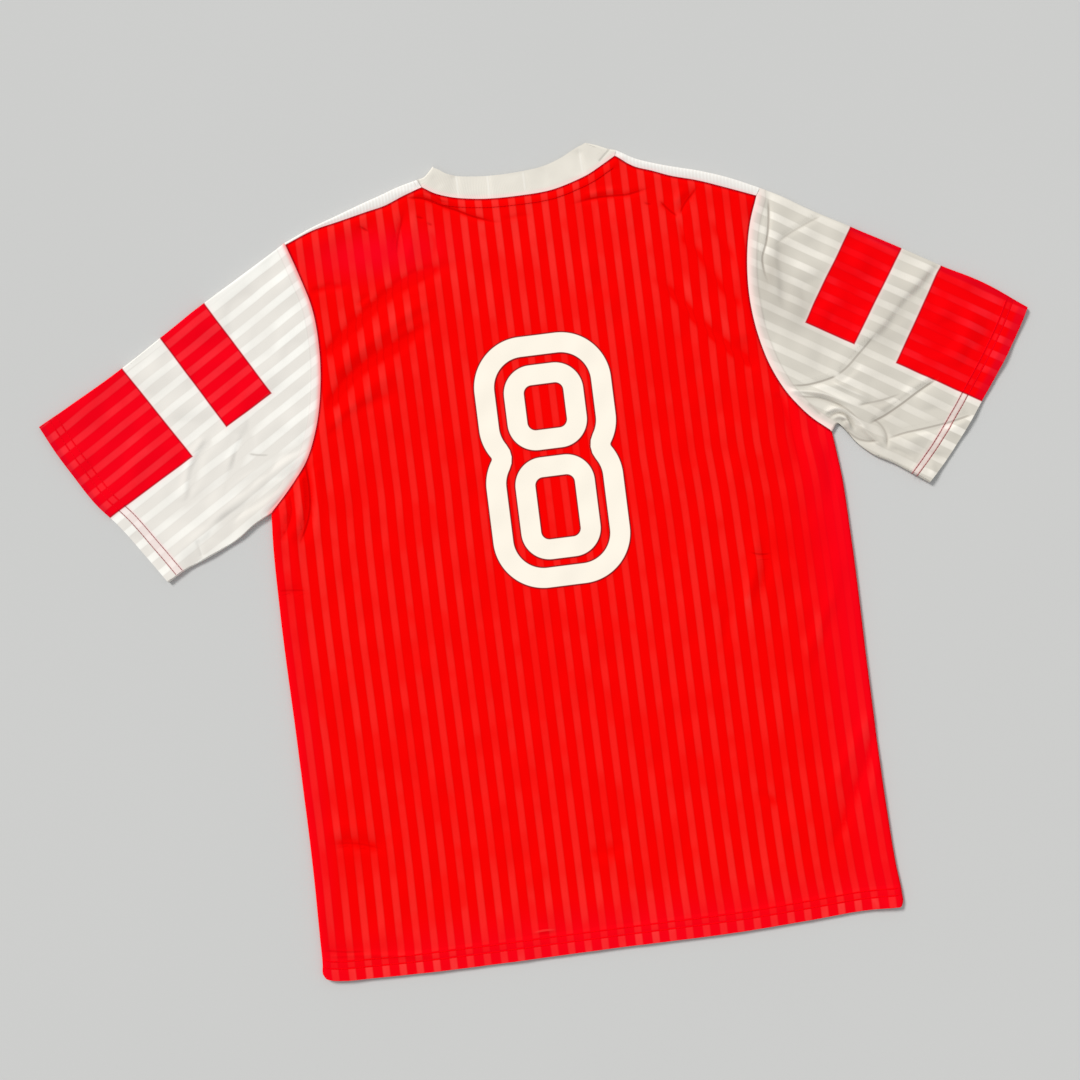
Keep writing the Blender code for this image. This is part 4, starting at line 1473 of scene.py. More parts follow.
@dataclass(frozen=True)
class Block:
    """A printed block of colour across the top fold of a sleeve, in metres.

    Each end may lean, by so much along the sleeve for each metre down it.
    """

    start: float
    end: float
    depth: float
    start_lean: float = 0.0
    end_lean: float = 0.0

    def inside(self, down: Wire, along: Wire) -> Wire:
        """Distance inside the nearest edge, below zero outside the block."""
        after = along - down * self.start_lean - self.start
        before = down * self.end_lean + self.end - along
        return after.least(before).least(self.depth - down)


@dataclass(frozen=True)
class Stripes:
    """Satin stripes of one knit, in metres."""

    pitch: float
    width: float
    middle: float
    tilt: float = 0.0
    blur: float = 0.0007
    # Width of the painted highlight along a sleeve's top fold, none below zero
    fold_highlight: float = -0.01

    def gap(self, across: Wire, along: Wire) -> Wire:
        """Distance from the middle of the nearest stripe."""
        place = (across - along * self.tilt - self.middle) / self.pitch + 0.5
        return abs(place.fraction() - 0.5) * self.pitch

    def mask(self, graph: Graph, gap: Wire) -> Wire:
        """1 on a stripe and 0 between stripes."""
        return 1.0 - graph.step(gap, self.width / 2, self.blur)

    def fold(self, graph: Graph, across: Wire) -> Wire:
        """1 in the strip along the top fold that is drawn light, as a painted highlight where the cloth
        turns over.
        """
        return 1.0 - graph.step(abs(across), self.fold_highlight, self.blur)


@dataclass(frozen=True)
class Dye:
    """Colours of a knit: between its stripes, on a full stripe, and how full its stripes are."""

    ground: Colour
    stripe: Colour
    satin: float
    patchy: float = 0.25
    patch_low: float = 0.36
    patch_high: float = 0.60
    groove: float = 0.05
    groove_shade: float = 0.3

    def colour(self, graph: Graph, shown: Wire, groove: Wire, scale: float) -> Socket:
        """Ground and stripes, with patches where the stripes fade.

        Args:
            graph: Nodes of the knit.
            shown: How much of a stripe shows.
            groove: How deep in the groove beside a stripe a place is.
            scale: Number of patches in a metre.

        Returns:
            The colour.
        """
        patches = graph.ramp(graph.noise(scale, 2.0), self.patch_low, self.patch_high)
        factor = (shown * (1.0 - self.patchy + patches * self.patchy) * self.satin).clipped()
        colour = graph.blend(factor, self.ground, self.stripe)
        return graph.blend(groove * self.groove, colour, dimmed(self.ground, self.groove_shade))


@dataclass(frozen=True)
class SeamEdge:
    """Colour of a knit beside its seams: painted shadow on the red, and pink on the white."""

    colour: Colour
    most: float
    reach: float
    soft: bool = False
    start: float = 0.0002


@dataclass(frozen=True)
class StripedKnit:
    """Light polyester knit with a satin stripe of its own colour."""

    name: str
    dye: Dye
    # Colour that the tint mixes in: crimson on the red, painted shade on a sleeve's white
    tinted: Colour
    stripes: Stripes
    seam: SeamEdge
    rows: tuple[float, ...] = ()
    row_half: float = 0.0013
    row_soft: float = 0.001
    row_shade: float = 0.10
    turned_gleam: float = 0.45
    between_tint: float = 0.32
    # Printed blocks, with a dark rim and a halo
    print_dye: Union[Dye, None] = None
    blocks: tuple[Block, ...] = ()
    print_blur: float = 0.0004
    halo: Colour = (1.0, 0.72, 0.72, 1.0)
    halo_reach: float = 0.006
    halo_tint: float = 0.42
    outline: Colour = (0.45, 0.0, 0.01, 1.0)
    outline_inside: float = 0.0002
    outline_half: float = 0.0012
    outline_tint: float = 0.85
    edge: Colour = (0.62, 0.002, 0.02, 1.0)
    edge_inside: float = 0.002
    edge_reach: float = 0.005
    edge_tint: float = 0.45
    # Seam allowance that shows through
    allowance: float = 0.0
    allowance_soft: float = 0.0004
    allowance_tint: float = 0.14
    allowance_half: float = 0.0011
    allowance_shade: float = 0.10
    # Colour of the painted shade in dark creases and along the seam allowance's edge
    crease: Colour = (0.30, 0.0, 0.0, 1.0)
    # Noises, in patches for each metre
    patch_scale: float = 20.0
    print_patch_scale: float = 26.0
    crumple_scale: float = 70.0
    slub_scale: float = 900.0
    slub_stretch: tuple[float, ...] = (1.0, 0.25, 1.0)
    # What is there without the slubs, and what they add
    thread_light: tuple[float, float] = (0.84, 0.32)
    groove_depth: tuple[float, float] = (0.4, 1.2)
    groove_half: float = 0.0013
    # Fine relief, in shares of its depth
    wale: float = 0.0011
    course: float = 0.0009
    relief: float = 0.00014
    ground_rise: float = 0.3
    wale_rise: float = 0.12
    loop_rise: float = 0.08
    stripe_rise: float = 0.25
    crumple_rise: float = 0.35
    row_sink: float = 0.3
    crease_sink: float = 3.0
    roughness: float = 0.62
    stripe_gloss: float = 0.14
    slub_roughness: float = 0.06
    specular: float = 0.012

    def material(self) -> Material:
        """Procedural material of the knit.

        Returns:
            The material.
        """
        graph = Graph(self.name)
        across, along = graph.cloth()
        gap = self.stripes.gap(across, along)
        stripe = self.stripes.mask(graph, gap)
        slub = graph.noise(self.slub_scale, 1.0, self.slub_stretch)
        thread = self.thread_light[0] + slub * self.thread_light[1]
        gleam, rows = self._gleam(graph)
        depth = self.groove_depth[0] + slub * self.groove_depth[1]
        groove = graph.line(gap - self.stripes.width / 2, self.groove_half) * depth
        # The stripes, and the painted highlight along the top fold, scaled by the painted sheen
        shown = stripe.most(self.stripes.fold(graph, across)) * thread * gleam
        colour = self.dye.colour(graph, shown, groove, self.patch_scale)
        # The tint: crimson on the red, painted shade on a sleeve's white
        colour = graph.blend(graph.attribute("tint"), colour, self.tinted)
        colour = self._doubled(graph, colour)
        if self.print_dye:
            shown = stripe * thread * gleam
            printed = self.print_dye.colour(graph, shown, groove, self.print_patch_scale)
            colour = self._printed(graph, colour, printed)
        if self.rows:
            # Painted shade in the sunk stitched rows, in the outline's colour
            colour = graph.blend(rows * self.row_shade, colour, self.outline)
        # The colour beside the seams, then the painted shade and painted highlights of the sharp creases
        creases = graph.creases()
        colour = graph.creased(graph.seamed(colour, self.seam), creases, self.crease, self.dye.stripe)
        height = self._height(graph, stripe, rows) - creases * self.crease_sink
        roughness = self.roughness - stripe * self.stripe_gloss + slub * self.slub_roughness
        return graph.finish(colour, roughness, height, self.relief, graph.GRAIN_STRENGTH,
                            {"Specular IOR Level": self.specular})

    def _gleam(self, graph: Graph) -> tuple[Wire, Wire]:
        """Gleam of the stripes, broken and brightened at the hem, and the stitched rows.

        Args:
            graph: The finish's shader graph.

        Returns:
            The gleam, and where the rows are.
        """
        turned = graph.attribute("turned")
        gleam = graph.attribute("gleam")
        if not self.rows:
            return gleam, gleam * 0.0
        rows: Value = 0.0
        for row in self.rows:
            rows = graph.line(turned - row, self.row_half) + rows
        low = 1.0 - graph.ramp(turned, self.rows[0] - self.row_soft, self.rows[0])
        return gleam * (1.0 + low * self.turned_gleam) * (1.0 - rows.least(1.0)), rows

    def _doubled(self, graph: Graph, colour: Any) -> Socket:
        """Tint a colour where the turned cuff and the seam allowance show through.

        Args:
            graph: Nodes of the knit.
            colour: The colour of a single layer.

        Returns:
            The colour with its tints.
        """
        if self.rows and self.print_dye:
            turned = graph.attribute("turned")
            start, end = self.rows[0], self.rows[1] + 2.0 * self.row_soft
            between = graph.step(turned, start, self.row_soft)
            between = between * (1.0 - graph.step(turned, end, self.row_soft))
            colour = graph.blend(between * self.between_tint, colour, self.halo)
        if self.allowance:
            seam = graph.attribute("seam")
            under = 1.0 - graph.step(seam, self.allowance, self.allowance_soft)
            colour = graph.blend(under * self.allowance_tint, colour, self.halo)
            # Painted shade along the edge of the seam allowance
            line = graph.line(seam - self.allowance, self.allowance_half)
            colour = graph.blend(line * self.allowance_shade, colour, self.crease)
        return colour

    def _printed(self, graph: Graph, colour: Any, printed: Any) -> Socket:
        """Lay the printed blocks over a colour.

        Args:
            graph: Nodes of the knit.
            colour: The colour outside the blocks.
            printed: The colour of the blocks.

        Returns:
            The colour of both, with the blocks' halo and outline.
        """
        across, along = graph.cloth()
        edge = abs(across).least(graph.attribute("turned") - self.edge_inside)
        near = 1.0 - graph.ramp(edge, 0.0, self.edge_reach)
        printed = graph.blend(near * self.edge_tint, printed, self.edge)
        inside = self._inside(across, along)
        halo = graph.ramp(inside, -self.halo_reach, 0.0)
        colour = graph.blend(halo * halo * self.halo_tint, colour, self.halo)
        colour = graph.blend(graph.step(inside, 0.0, self.print_blur), colour, printed)
        outline = graph.line(inside - self.outline_inside, self.outline_half)
        return graph.blend(outline * self.outline_tint, colour, self.outline)

    def _height(self, graph: Graph, stripe: Wire, rows: Wire) -> Wire:
        """Fine relief of the knit.

        Args:
            graph: Nodes of the knit.
            stripe: 1 on a stripe and 0 between stripes.
            rows: 1 on a stitched row.

        Returns:
            The height in shares of the relief's depth.
        """
        across, along = graph.cloth()
        wales = (across * (math.tau / self.wale)).sine()
        courses = (along * (math.tau / self.course)).sine()
        crumple = graph.noise(self.crumple_scale, 3.0)
        height = self.ground_rise + wales * self.wale_rise + wales * courses * self.loop_rise
        return height + stripe * self.stripe_rise + crumple * self.crumple_rise - rows * self.row_sink

    def _inside(self, across: Wire, along: Wire) -> Wire:
        """Distance inside the nearest printed edge, below zero outside every block.

        Args:
            across: Distance across the sleeve.
            along: Distance along the sleeve.

        Returns:
            The distance.
        """
        down = abs(across)
        inside = self.blocks[0].inside(down, along)
        for block in self.blocks[1:]:
            inside = inside.most(block.inside(down, along))
        return inside


@dataclass(frozen=True)
class RibKnit:
    """Fine rib of the neckband."""

    name: str
    ground: Colour
    seam: SeamEdge
    dim_share: float = 0.90
    cloud_scale: float = 22.0
    clouds: float = 0.5
    grain_scale: float = 1400.0
    grain: float = 0.3
    rib: float = 0.0016
    rib_shade: float = 0.10
    course: float = 0.001
    relief: float = 0.00018
    rib_rise: float = 0.35
    course_rise: float = 0.1
    crease_sink: float = 2.0
    # Colours of the painted shade in dark creases and of the painted highlight on light ones
    crease: Colour = (0.30, 0.28, 0.25, 1.0)
    bright: Colour = (1.0, 0.98, 0.93, 1.0)
    roughness: float = 0.7
    grain_roughness: float = 0.08

    def material(self) -> Material:
        """Procedural material of the rib.

        Returns:
            The material.
        """
        graph = Graph(self.name)
        along, across = graph.cloth()
        cloudy = graph.ramp(graph.noise(self.cloud_scale, 3.0), 0.35, 0.65)
        grain = graph.noise(self.grain_scale, 1.0)
        ribs = (along * (math.tau / self.rib)).sine()
        courses = (across * (math.tau / self.course)).sine()
        dim = (cloudy * self.clouds + grain * self.grain + ribs * self.rib_shade).clipped()
        colour = graph.blend(dim, self.ground, dimmed(self.ground, self.dim_share))
        # Painted shade and painted highlights of the sharp creases
        creases = graph.creases()
        colour = graph.creased(graph.seamed(colour, self.seam), creases, self.crease, self.bright)
        height = 0.5 + ribs * self.rib_rise + courses * self.course_rise - creases * self.crease_sink
        return graph.finish(colour, self.roughness + grain * self.grain_roughness, height, self.relief,
                            graph.GRAIN_STRENGTH, {"Specular IOR Level": 0.15, "Sheen Weight": 0.05,
                                                   "Sheen Roughness": 0.5})


@dataclass(frozen=True)
class PrintFilm:
    """Matt film of the number, with a dark red painted shadow along its rim."""

    name: str
    ground: Colour
    dim: Colour
    rim: Colour
    rim_width: float = 0.0012
    rim_soft: float = 0.0003
    cloud_scale: float = 40.0
    clouds: float = 0.5
    grain_scale: float = 1600.0
    grain: float = 0.2
    relief: float = 0.00008
    relief_strength: float = 0.3
    roughness: float = 0.55
    grain_roughness: float = 0.1

    def material(self) -> Material:
        """Procedural material of the film.

        Returns:
            The material.
        """
        graph = Graph(self.name)
        cloudy = graph.noise(self.cloud_scale, 3.0)
        grain = graph.noise(self.grain_scale, 2.0)
        dim = (cloudy * self.clouds + grain * self.grain).clipped()
        colour = graph.blend(dim, self.ground, self.dim)
        # Painted shadow: dark red along both edges of each band
        inner = graph.step(graph.attribute("turned"), self.rim_width, self.rim_soft)
        return graph.finish(graph.blend(inner, self.rim, colour),
                            self.roughness + grain * self.grain_roughness, grain, self.relief,
                            self.relief_strength, {"Specular IOR Level": 0.2})


@dataclass(frozen=True)
class Thread:
    """Twisted sewing thread."""

    name: str
    ground: Colour
    dim: Colour
    on_print: Colour
    gloss: float
    twist: float = 0.0006
    slant: float = 0.5
    ply_shade: tuple[float, float] = (0.3, 0.4)
    relief: float = 0.00006
    roughness: float = 0.5
    ply_roughness: float = 0.05

    def material(self) -> Material:
        """Procedural material of the thread.

        Returns:
            The material.
        """
        graph = Graph(self.name)
        along, across = graph.cloth()
        plies = ((along + across * self.slant) * (math.tau / self.twist)).sine()
        dim = (plies * self.ply_shade[0] + self.ply_shade[1]).clipped()
        colour = graph.blend(dim, self.ground, self.dim)
        colour = graph.blend(graph.attribute("tint"), colour, self.on_print)
        return graph.finish(colour, self.roughness + plies * self.ply_roughness, plies * 0.5 + 0.5,
                            self.relief, graph.GRAIN_STRENGTH, {"Specular IOR Level": self.gloss})


# ---- Cut and sewn pieces ----

@dataclass
class Garment:
    """What every piece needs to know of the laid garment."""

    plan: Plan
    lie: Lie
    neck_steps: int = 72
    shoulder_steps: int = 52
    roll_steps: int = 8
    edge_samples: int = 60
    neck_samples: int = 160
    flare_from: float = 0.2855
    # Parts of the armhole between which the cloth's direction at the underarm is taken
    underarm_parts: tuple[float, float] = (0.0, 0.0625)
    # Part of the side from which its roll turns towards the underarm
    turn_part: float = 0.955
    corner_high: float = 0.014
    corner_part: float = 0.024
    corner_lean: float = 0.6

    def underarm(self, hand: Hand) -> tuple[Array, Array]:
        """Centre of the roll at the underarm, and the way that it faces."""
        seam = self.plan.armhole(hand, np.array(self.underarm_parts))
        roll = self.lie.roll(seam[:1], unit(seam[0] - seam[1])[None])
        return roll.centres[0], roll.outward[0]

    def shoulder_roll(self, hand: Hand) -> Roll:
        """Roll along a shoulder piece's fold line."""
        parts = even(self.shoulder_steps)
        fold = self.plan.shoulder_fold(hand, parts)
        return self.lie.roll(fold, unit(fold - self.plan.shoulder_seam(hand, parts)))

    def armhole_seam(self, hand: Hand, parts: Array) -> Array:
        """Armhole seam in the top layer, from the underarm roll to the shoulder roll."""
        seam = self.plan.armhole(hand, parts)
        seam[0] = self.underarm(hand)[0]
        return np.concatenate((seam, self.shoulder_roll(hand).centres[-1:]))

    def side_roll(self, hand: Hand, parts: Array) -> Roll:
        """Roll along one side of the body.

        Args:
            hand: The wearer's side.
            parts: Fractions of the way from the hem to the underarm.

        Returns:
            The roll, which faces a little up the plan at the hem's corner.
        """
        turn = ease(parts, self.turn_part, 1.0)[:, None]
        lean = self.corner_lean * ease(parts, self.corner_part, 0.0)
        level = np.stack((np.full(len(parts), float(hand.value)), lean), axis=1)
        outward = unit((1.0 - turn) * level + turn * self.underarm(hand)[1])
        return self.lie.roll(self.plan.side_edge(hand, parts), outward)

    def front_neck(self, hands_steps: int, bowl_steps: int) -> Array:
        """Front neckline between the two neckband folds, with a corner at each yoke seam.

        Args:
            hands_steps: Steps along each yoke's own part.
            bowl_steps: Steps between them.

        Returns:
            Places from left to right.
        """
        ends = [self.shoulder_roll(hand).centres[0] for hand in Hand]
        across = np.linspace(ends[0][0], ends[1][0], self.neck_samples + 1)
        edges = [self.plan.shoulder_fold(hand, np.zeros(1))[0] for hand in Hand]
        low = self.plan.front_neck_up * MM
        reach = np.where(across < 0.0, edges[0][0], edges[1][0])
        rim = np.where(across < 0.0, edges[0][1], edges[1][1])
        curve = np.stack((across, low + (rim - low) * (across / reach) ** 2), axis=1)
        curve[0], curve[-1] = ends
        gone = lengths_along(curve)
        yoke = self.plan.yoke_depth * MM
        stops = np.concatenate((
            np.linspace(0.0, yoke, hands_steps + 1),
            np.linspace(yoke, gone[-1] - yoke, bowl_steps + 1)[1:-1],
            np.linspace(gone[-1] - yoke, gone[-1], hands_steps + 1),
        ))
        return sampled(stops, gone, curve)

    def body_cloth(self, places: Array) -> Array:
        """Place on the body's cloth, whose stripes follow the flare of the sides.

        Args:
            places: Rows and columns of places in plan.

        Returns:
            The cloth's own place at each.
        """
        cloth = places.copy()
        up = np.maximum(places[..., 1], self.corner_high)
        for hand in Hand:
            edge = self.plan.side_edge(hand, even(self.edge_samples))
            out = np.interp(up, edge[:, 1], edge[:, 0] * hand.value)
            here = places[..., 0] * hand.value > 0.0
            cloth[..., 0] *= np.where(here, self.flare_from / out, 1.0)
        return cloth

    def top_sheet(self, places: Array, cloth: Array, turn: Array, tint: Any = 0.0) -> Array:
        """Top layer of a piece.

        Args:
            places: Rows and columns of places in plan.
            cloth: The cloth's own place at each.
            turn: Matrix that turns a slip in plan into one on the cloth.
            tint: Tint at each place.

        Returns:
            The sheet.
        """
        layer = self.lie.top(places)
        middle = with_height(places, layer.height)
        return sheet_of(middle, UP, cloth + layer.slip @ turn, tint, layer.details)

    def floor_sheet(self, places: Array, cloth: Array, tint: Any = 0.0) -> Array:
        """Floor layer of a piece, facing down."""
        return sheet_of(with_height(places, self.lie.floor(places)), DOWN, cloth, tint)

    def rolled(self, roll: Roll, start: Array, end: Array) -> Array:
        """Sheet along a roll, from the top layer's columns to the floor layer's."""
        return roll_sheet(roll, self.lie.floor_mid, self.roll_steps, start, end)


@dataclass(frozen=True)
class SheetFacts:
    """Flat size of one sheet of cloth when finished, and what it lies on."""

    width: float
    length: float
    area: float
    rests_on: tuple[str, ...]


def dress(piece: Piece, material: Material, slot: str, *nodes: str) -> Piece:
    """Give a piece its material and body.

    Args:
        piece: The piece.
        material: Its finish.
        slot: Not used.
        *nodes: CAD nodes that it stands for.

    Returns:
        The same piece.
    """
    piece.data.materials.append(material)
    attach(piece, BODY)
    if nodes:
        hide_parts(*nodes)
    LOG.info("%s: %d faces", piece.name, len(piece.data.polygons))
    return piece


@dataclass
class BackPanel:
    """Back panel: the top layer of the body, rolled down to the floor along both sides."""

    garment: Garment
    side_spans: Spans = ((0.052, 18), (1.0, 104))
    armhole_spans: Spans = ((0.74, 88), (1.0, 50))
    facts: SheetFacts = SheetFacts(0.590, 0.775, 0.405, ("front_panel",))

    def build(self, material: Material) -> Piece:
        """Mesh of the back panel.

        Args:
            material: The piece's finish.

        Returns:
            The piece.
        """
        garment, plan = self.garment, self.garment.plan
        parts = graded(self.side_spans)
        rolls = {hand: garment.side_roll(hand, parts) for hand in Hand}
        seams = {hand: plan.armhole(hand, graded(self.armhole_spans)) for hand in Hand}
        left, right = (np.concatenate((rolls[hand].centres, seams[hand][1:])) for hand in Hand)
        shoulder = even(garment.shoulder_steps)
        neckline = plan.band_seam(even(garment.neck_steps))
        top = np.concatenate((
            plan.shoulder_seam(Hand.LEFT, shoulder)[::-1], neckline[1:-1],
            plan.shoulder_seam(Hand.RIGHT, shoulder)))
        hem = plan.hem_between(left[0], right[0], even(len(top) - 1))
        places = patch(hem, top, left, right)
        crimson = np.clip(spot_sum(places, CRIMSONS), 0.0, 1.0)
        layer = garment.top_sheet(places, garment.body_cloth(places), np.eye(2), crimson)
        rows, steps = len(parts), garment.roll_steps
        sheet = np.zeros((len(left), len(top) + 2 * steps, COLUMNS))
        kept = np.zeros(sheet.shape[:2], dtype=bool)
        middle = slice(steps, steps + len(top))
        sheet[:, middle] = layer
        kept[:, middle] = True
        kept[:rows] = True
        left_side = self._side(Hand.LEFT, rolls[Hand.LEFT], layer[:rows, 0])
        sheet[:rows, :steps] = left_side[:, ::-1]
        sheet[:rows, -steps:] = self._side(Hand.RIGHT, rolls[Hand.RIGHT], layer[:rows, -1])
        piece = wall("back_panel", sheet, garment.lie.cloth, kept=kept)
        return dress(piece, material, "jersey_red", "back")

    def _side(self, hand: Hand, roll: Roll, start: Array) -> Array:
        """Cloth that turns over along one side.

        Args:
            hand: The wearer's side.
            roll: The roll that it follows.
            start: The sheet's columns where the top layer ends.

        Returns:
            Columns from the top layer down to the floor.
        """
        arc = math.pi * roll.radii * hand.value
        cloth = start[:, CLOTH_AT] + np.stack((arc, np.zeros(len(arc))), axis=1)
        end = self.garment.floor_sheet(roll.centres, cloth)
        end[:, TINT:] = start[:, TINT:]
        end[:, 2] = self.garment.lie.floor_mid
        return np.concatenate((self.garment.rolled(roll, start, end), end[:, None]), axis=1)


@dataclass
class FrontPanel:
    """Front panel: flat on the floor, inside the rolls of the back."""

    garment: Garment
    hem_short: float = 0.0015
    side_steps: int = 100
    armhole_steps: int = 56
    yoke_steps: int = 34
    neck_trim: int = 2
    bowl_steps: int = 56
    facts: SheetFacts = SheetFacts(0.585, 0.735, 0.385, ("floor",))

    def build(self, material: Material) -> Piece:
        """Mesh of the front panel.

        Args:
            material: The piece's finish.

        Returns:
            The piece.
        """
        garment, plan, lie = self.garment, self.garment.plan, self.garment.lie
        edges = []
        for hand in Hand:
            roll = garment.side_roll(hand, even(self.side_steps))
            armhole = plan.armhole(hand, even(self.armhole_steps) * plan.yoke_part)[1:]
            edges.append(np.concatenate((roll.centres - roll.outward * lie.seam, armhole)))
        left, right = edges
        neck = garment.front_neck(self.neck_trim, self.bowl_steps)[self.neck_trim:-self.neck_trim]
        yokes = []
        for hand, start in ((Hand.LEFT, neck[0]), (Hand.RIGHT, neck[-1])):
            end = plan.armhole(hand, np.array((plan.yoke_part,)))[0]
            line = smooth((start, end), even(self.yoke_steps))
            yokes.append(beside(line, -lie.seam * hand.value))
        top = np.concatenate((yokes[0][::-1], neck[1:-1], yokes[1]))
        left[-1], right[-1] = top[0], top[-1]
        hem = plan.hem_between(left[0], right[0], even(len(top) - 1)) + (0.0, self.hem_short)
        left[0], right[0] = hem[0], hem[-1]
        places = patch(hem, top, left, right)
        sheet = garment.floor_sheet(places, garment.body_cloth(places))
        sheet[..., TURNED] = lie.turned(places.reshape(-1, 2), np.zeros(1)).reshape(places.shape[:-1])
        piece = wall("front_panel", sheet, lie.cloth)
        return dress(piece, material, "jersey_red", "front")


@dataclass
class ShoulderPiece:
    """Shoulder piece: from the back's seam over the fold line to the yoke seam on the front."""

    garment: Garment
    hand: Hand
    top_steps: int = 4
    under_steps: int = 14
    bowl_steps: int = 20
    facts: SheetFacts = SheetFacts(0.155, 0.075, 0.0075, ("front_panel",))

    def build(self, material: Material) -> Piece:
        """Mesh of the shoulder piece.

        Args:
            material: The piece's finish.

        Returns:
            The piece.
        """
        garment, plan, lie, hand = self.garment, self.garment.plan, self.garment.lie, self.hand
        parts = even(garment.shoulder_steps)
        roll = garment.shoulder_roll(hand)
        centres = roll.centres
        seam = plan.shoulder_seam(hand, parts) + roll.outward * lie.seam
        across = even(self.top_steps)[None, :, None]
        places = seam[:, None] * (1.0 - across) + centres[:, None] * across
        layer = garment.top_sheet(places, places, np.eye(2))
        neck = garment.front_neck(self.under_steps, self.bowl_steps)
        neck = (neck if hand is Hand.LEFT else neck[::-1])[:self.under_steps + 1]
        sleeve = plan.armhole(hand, 1.0 - even(self.under_steps - 1) * (1.0 - plan.yoke_part))
        sleeve = np.concatenate((centres[-1:], sleeve))
        under = patch(neck, sleeve, centres, smooth((neck[-1], sleeve[-1]), parts))
        cloth = under.copy()
        cloth[..., 1] = 2.0 * centres[:, None, 1] + math.pi * roll.radii.mean() - under[..., 1]
        floor = garment.floor_sheet(under, cloth)
        floor[:, 0, 2] = lie.floor_mid
        turned = garment.rolled(roll, layer[:, -1], floor[:, 0])
        sheet = np.concatenate((layer, turned, floor), axis=1)
        piece = wall(f"shoulder_piece_{hand.word}", sheet, lie.cloth)
        return dress(piece, material, "sleeve_white", f"shoulder_{hand.word}")


@dataclass
class Sleeve:
    """Sleeve: a flattened tube from the armhole to the cuff, folded along both edges."""

    garment: Garment
    hand: Hand
    around_spans: Spans = ((0.42, 68), (1.0, 60))
    along_spans: Spans = ((0.42, 72), (0.915, 62), (1.0, 20))
    # The cuff's last two parts, which close up to the top fold
    cuff_end: tuple[float, float] = (0.995, 1.0)
    # Steps between the two points that give a fold's direction
    facing_steps: int = 5
    under_shift: float = 0.001
    fold_gleam: float = 0.8
    facts: SheetFacts = SheetFacts(0.480, 0.290, 0.105, ("floor",))

    def build(self, material: Material) -> Piece:
        """Mesh of the sleeve.

        Args:
            material: The piece's finish.

        Returns:
            The piece.
        """
        garment, plan, lie, hand = self.garment, self.garment.plan, self.garment.lie, self.hand
        top, under = plan.sleeve_edges(hand, graded(self.along_spans))
        around = graded(self.around_spans)
        seam = garment.armhole_seam(hand, around)
        guide = seam.copy()
        guide[0], guide[-1] = under[0], top[0]
        end = plan.cuff(hand, np.append(around[:-1], self.cuff_end))
        lines = patch(guide, end, under, top)
        under_out = unit(lines[:, 0] - lines[:, self.facing_steps])
        top_out = unit(lines[:, -1] - lines[:, -1 - self.facing_steps])
        under_out[0] = garment.underarm(hand)[1]
        top_out[0] = garment.shoulder_roll(hand).outward[-1]
        under_roll, top_roll = lie.roll(under, under_out), lie.roll(top, top_out)
        end[0], end[-1] = under_roll.centres[-1], top_roll.centres[-1]
        places = patch(seam, end, under_roll.centres, top_roll.centres)
        places[0] += beside(seam, lie.seam * -hand.value) - seam
        under_roll = under_roll._replace(centres=places[:, 0])
        return self._tube(places, under_roll, top_roll._replace(centres=places[:, -1]), material)

    def _tube(self, places: Array, under: Roll, top: Roll, material: Material) -> Piece:
        """Close the tube round both folds.

        Args:
            places: Rows along the sleeve and columns from its underside to its top fold.
            under: Roll at the underside.
            top: Roll at the top fold.
            material: Its finish.

        Returns:
            The piece.
        """
        garment, lie, hand = self.garment, self.garment.lie, self.hand
        local = lie.sleeves[hand]
        turn = np.stack((local.down, local.along), axis=1)
        # Painted shade: patches where the sleeve's white is drawn greyer
        painted_shade = np.clip(spot_sum(local.cloth(places), SHADE_SPOTS[hand]), 0.0, 1.0)
        layer = garment.top_sheet(places, local.cloth(places), turn, painted_shade)
        mirrored = local.cloth(places) * (-1.0, 1.0) + (self.under_shift, 0.0)
        floor = garment.floor_sheet(places, mirrored, painted_shade)
        floor[..., TURNED:] = layer[..., TURNED:]
        floor[:, 0, 2] = floor[:, -1, 2] = lie.floor_mid
        over = garment.rolled(top, layer[:, -1], floor[:, -1])
        # Painted sheen on the roll over the top fold, fading to none underneath
        over[..., GLEAM] *= np.linspace(self.fold_gleam, 0.0, over.shape[1])
        below = garment.rolled(under, layer[:, 0], floor[:, 0])
        half = garment.roll_steps // 2
        below[:, :half, CLOTH_AT] = layer[:, :1, CLOTH_AT]
        below[:, half:, CLOTH_AT] = floor[:, :1, CLOTH_AT]
        sheet = np.concatenate((layer, over, floor[:, ::-1], below[:, ::-1]), axis=1)
        piece = wall(f"sleeve_panel_{hand.word}", np.swapaxes(sheet, 0, 1), lie.cloth, ring=True)
        return dress(piece, material, "sleeve_white", f"sleeve_{hand.word}")


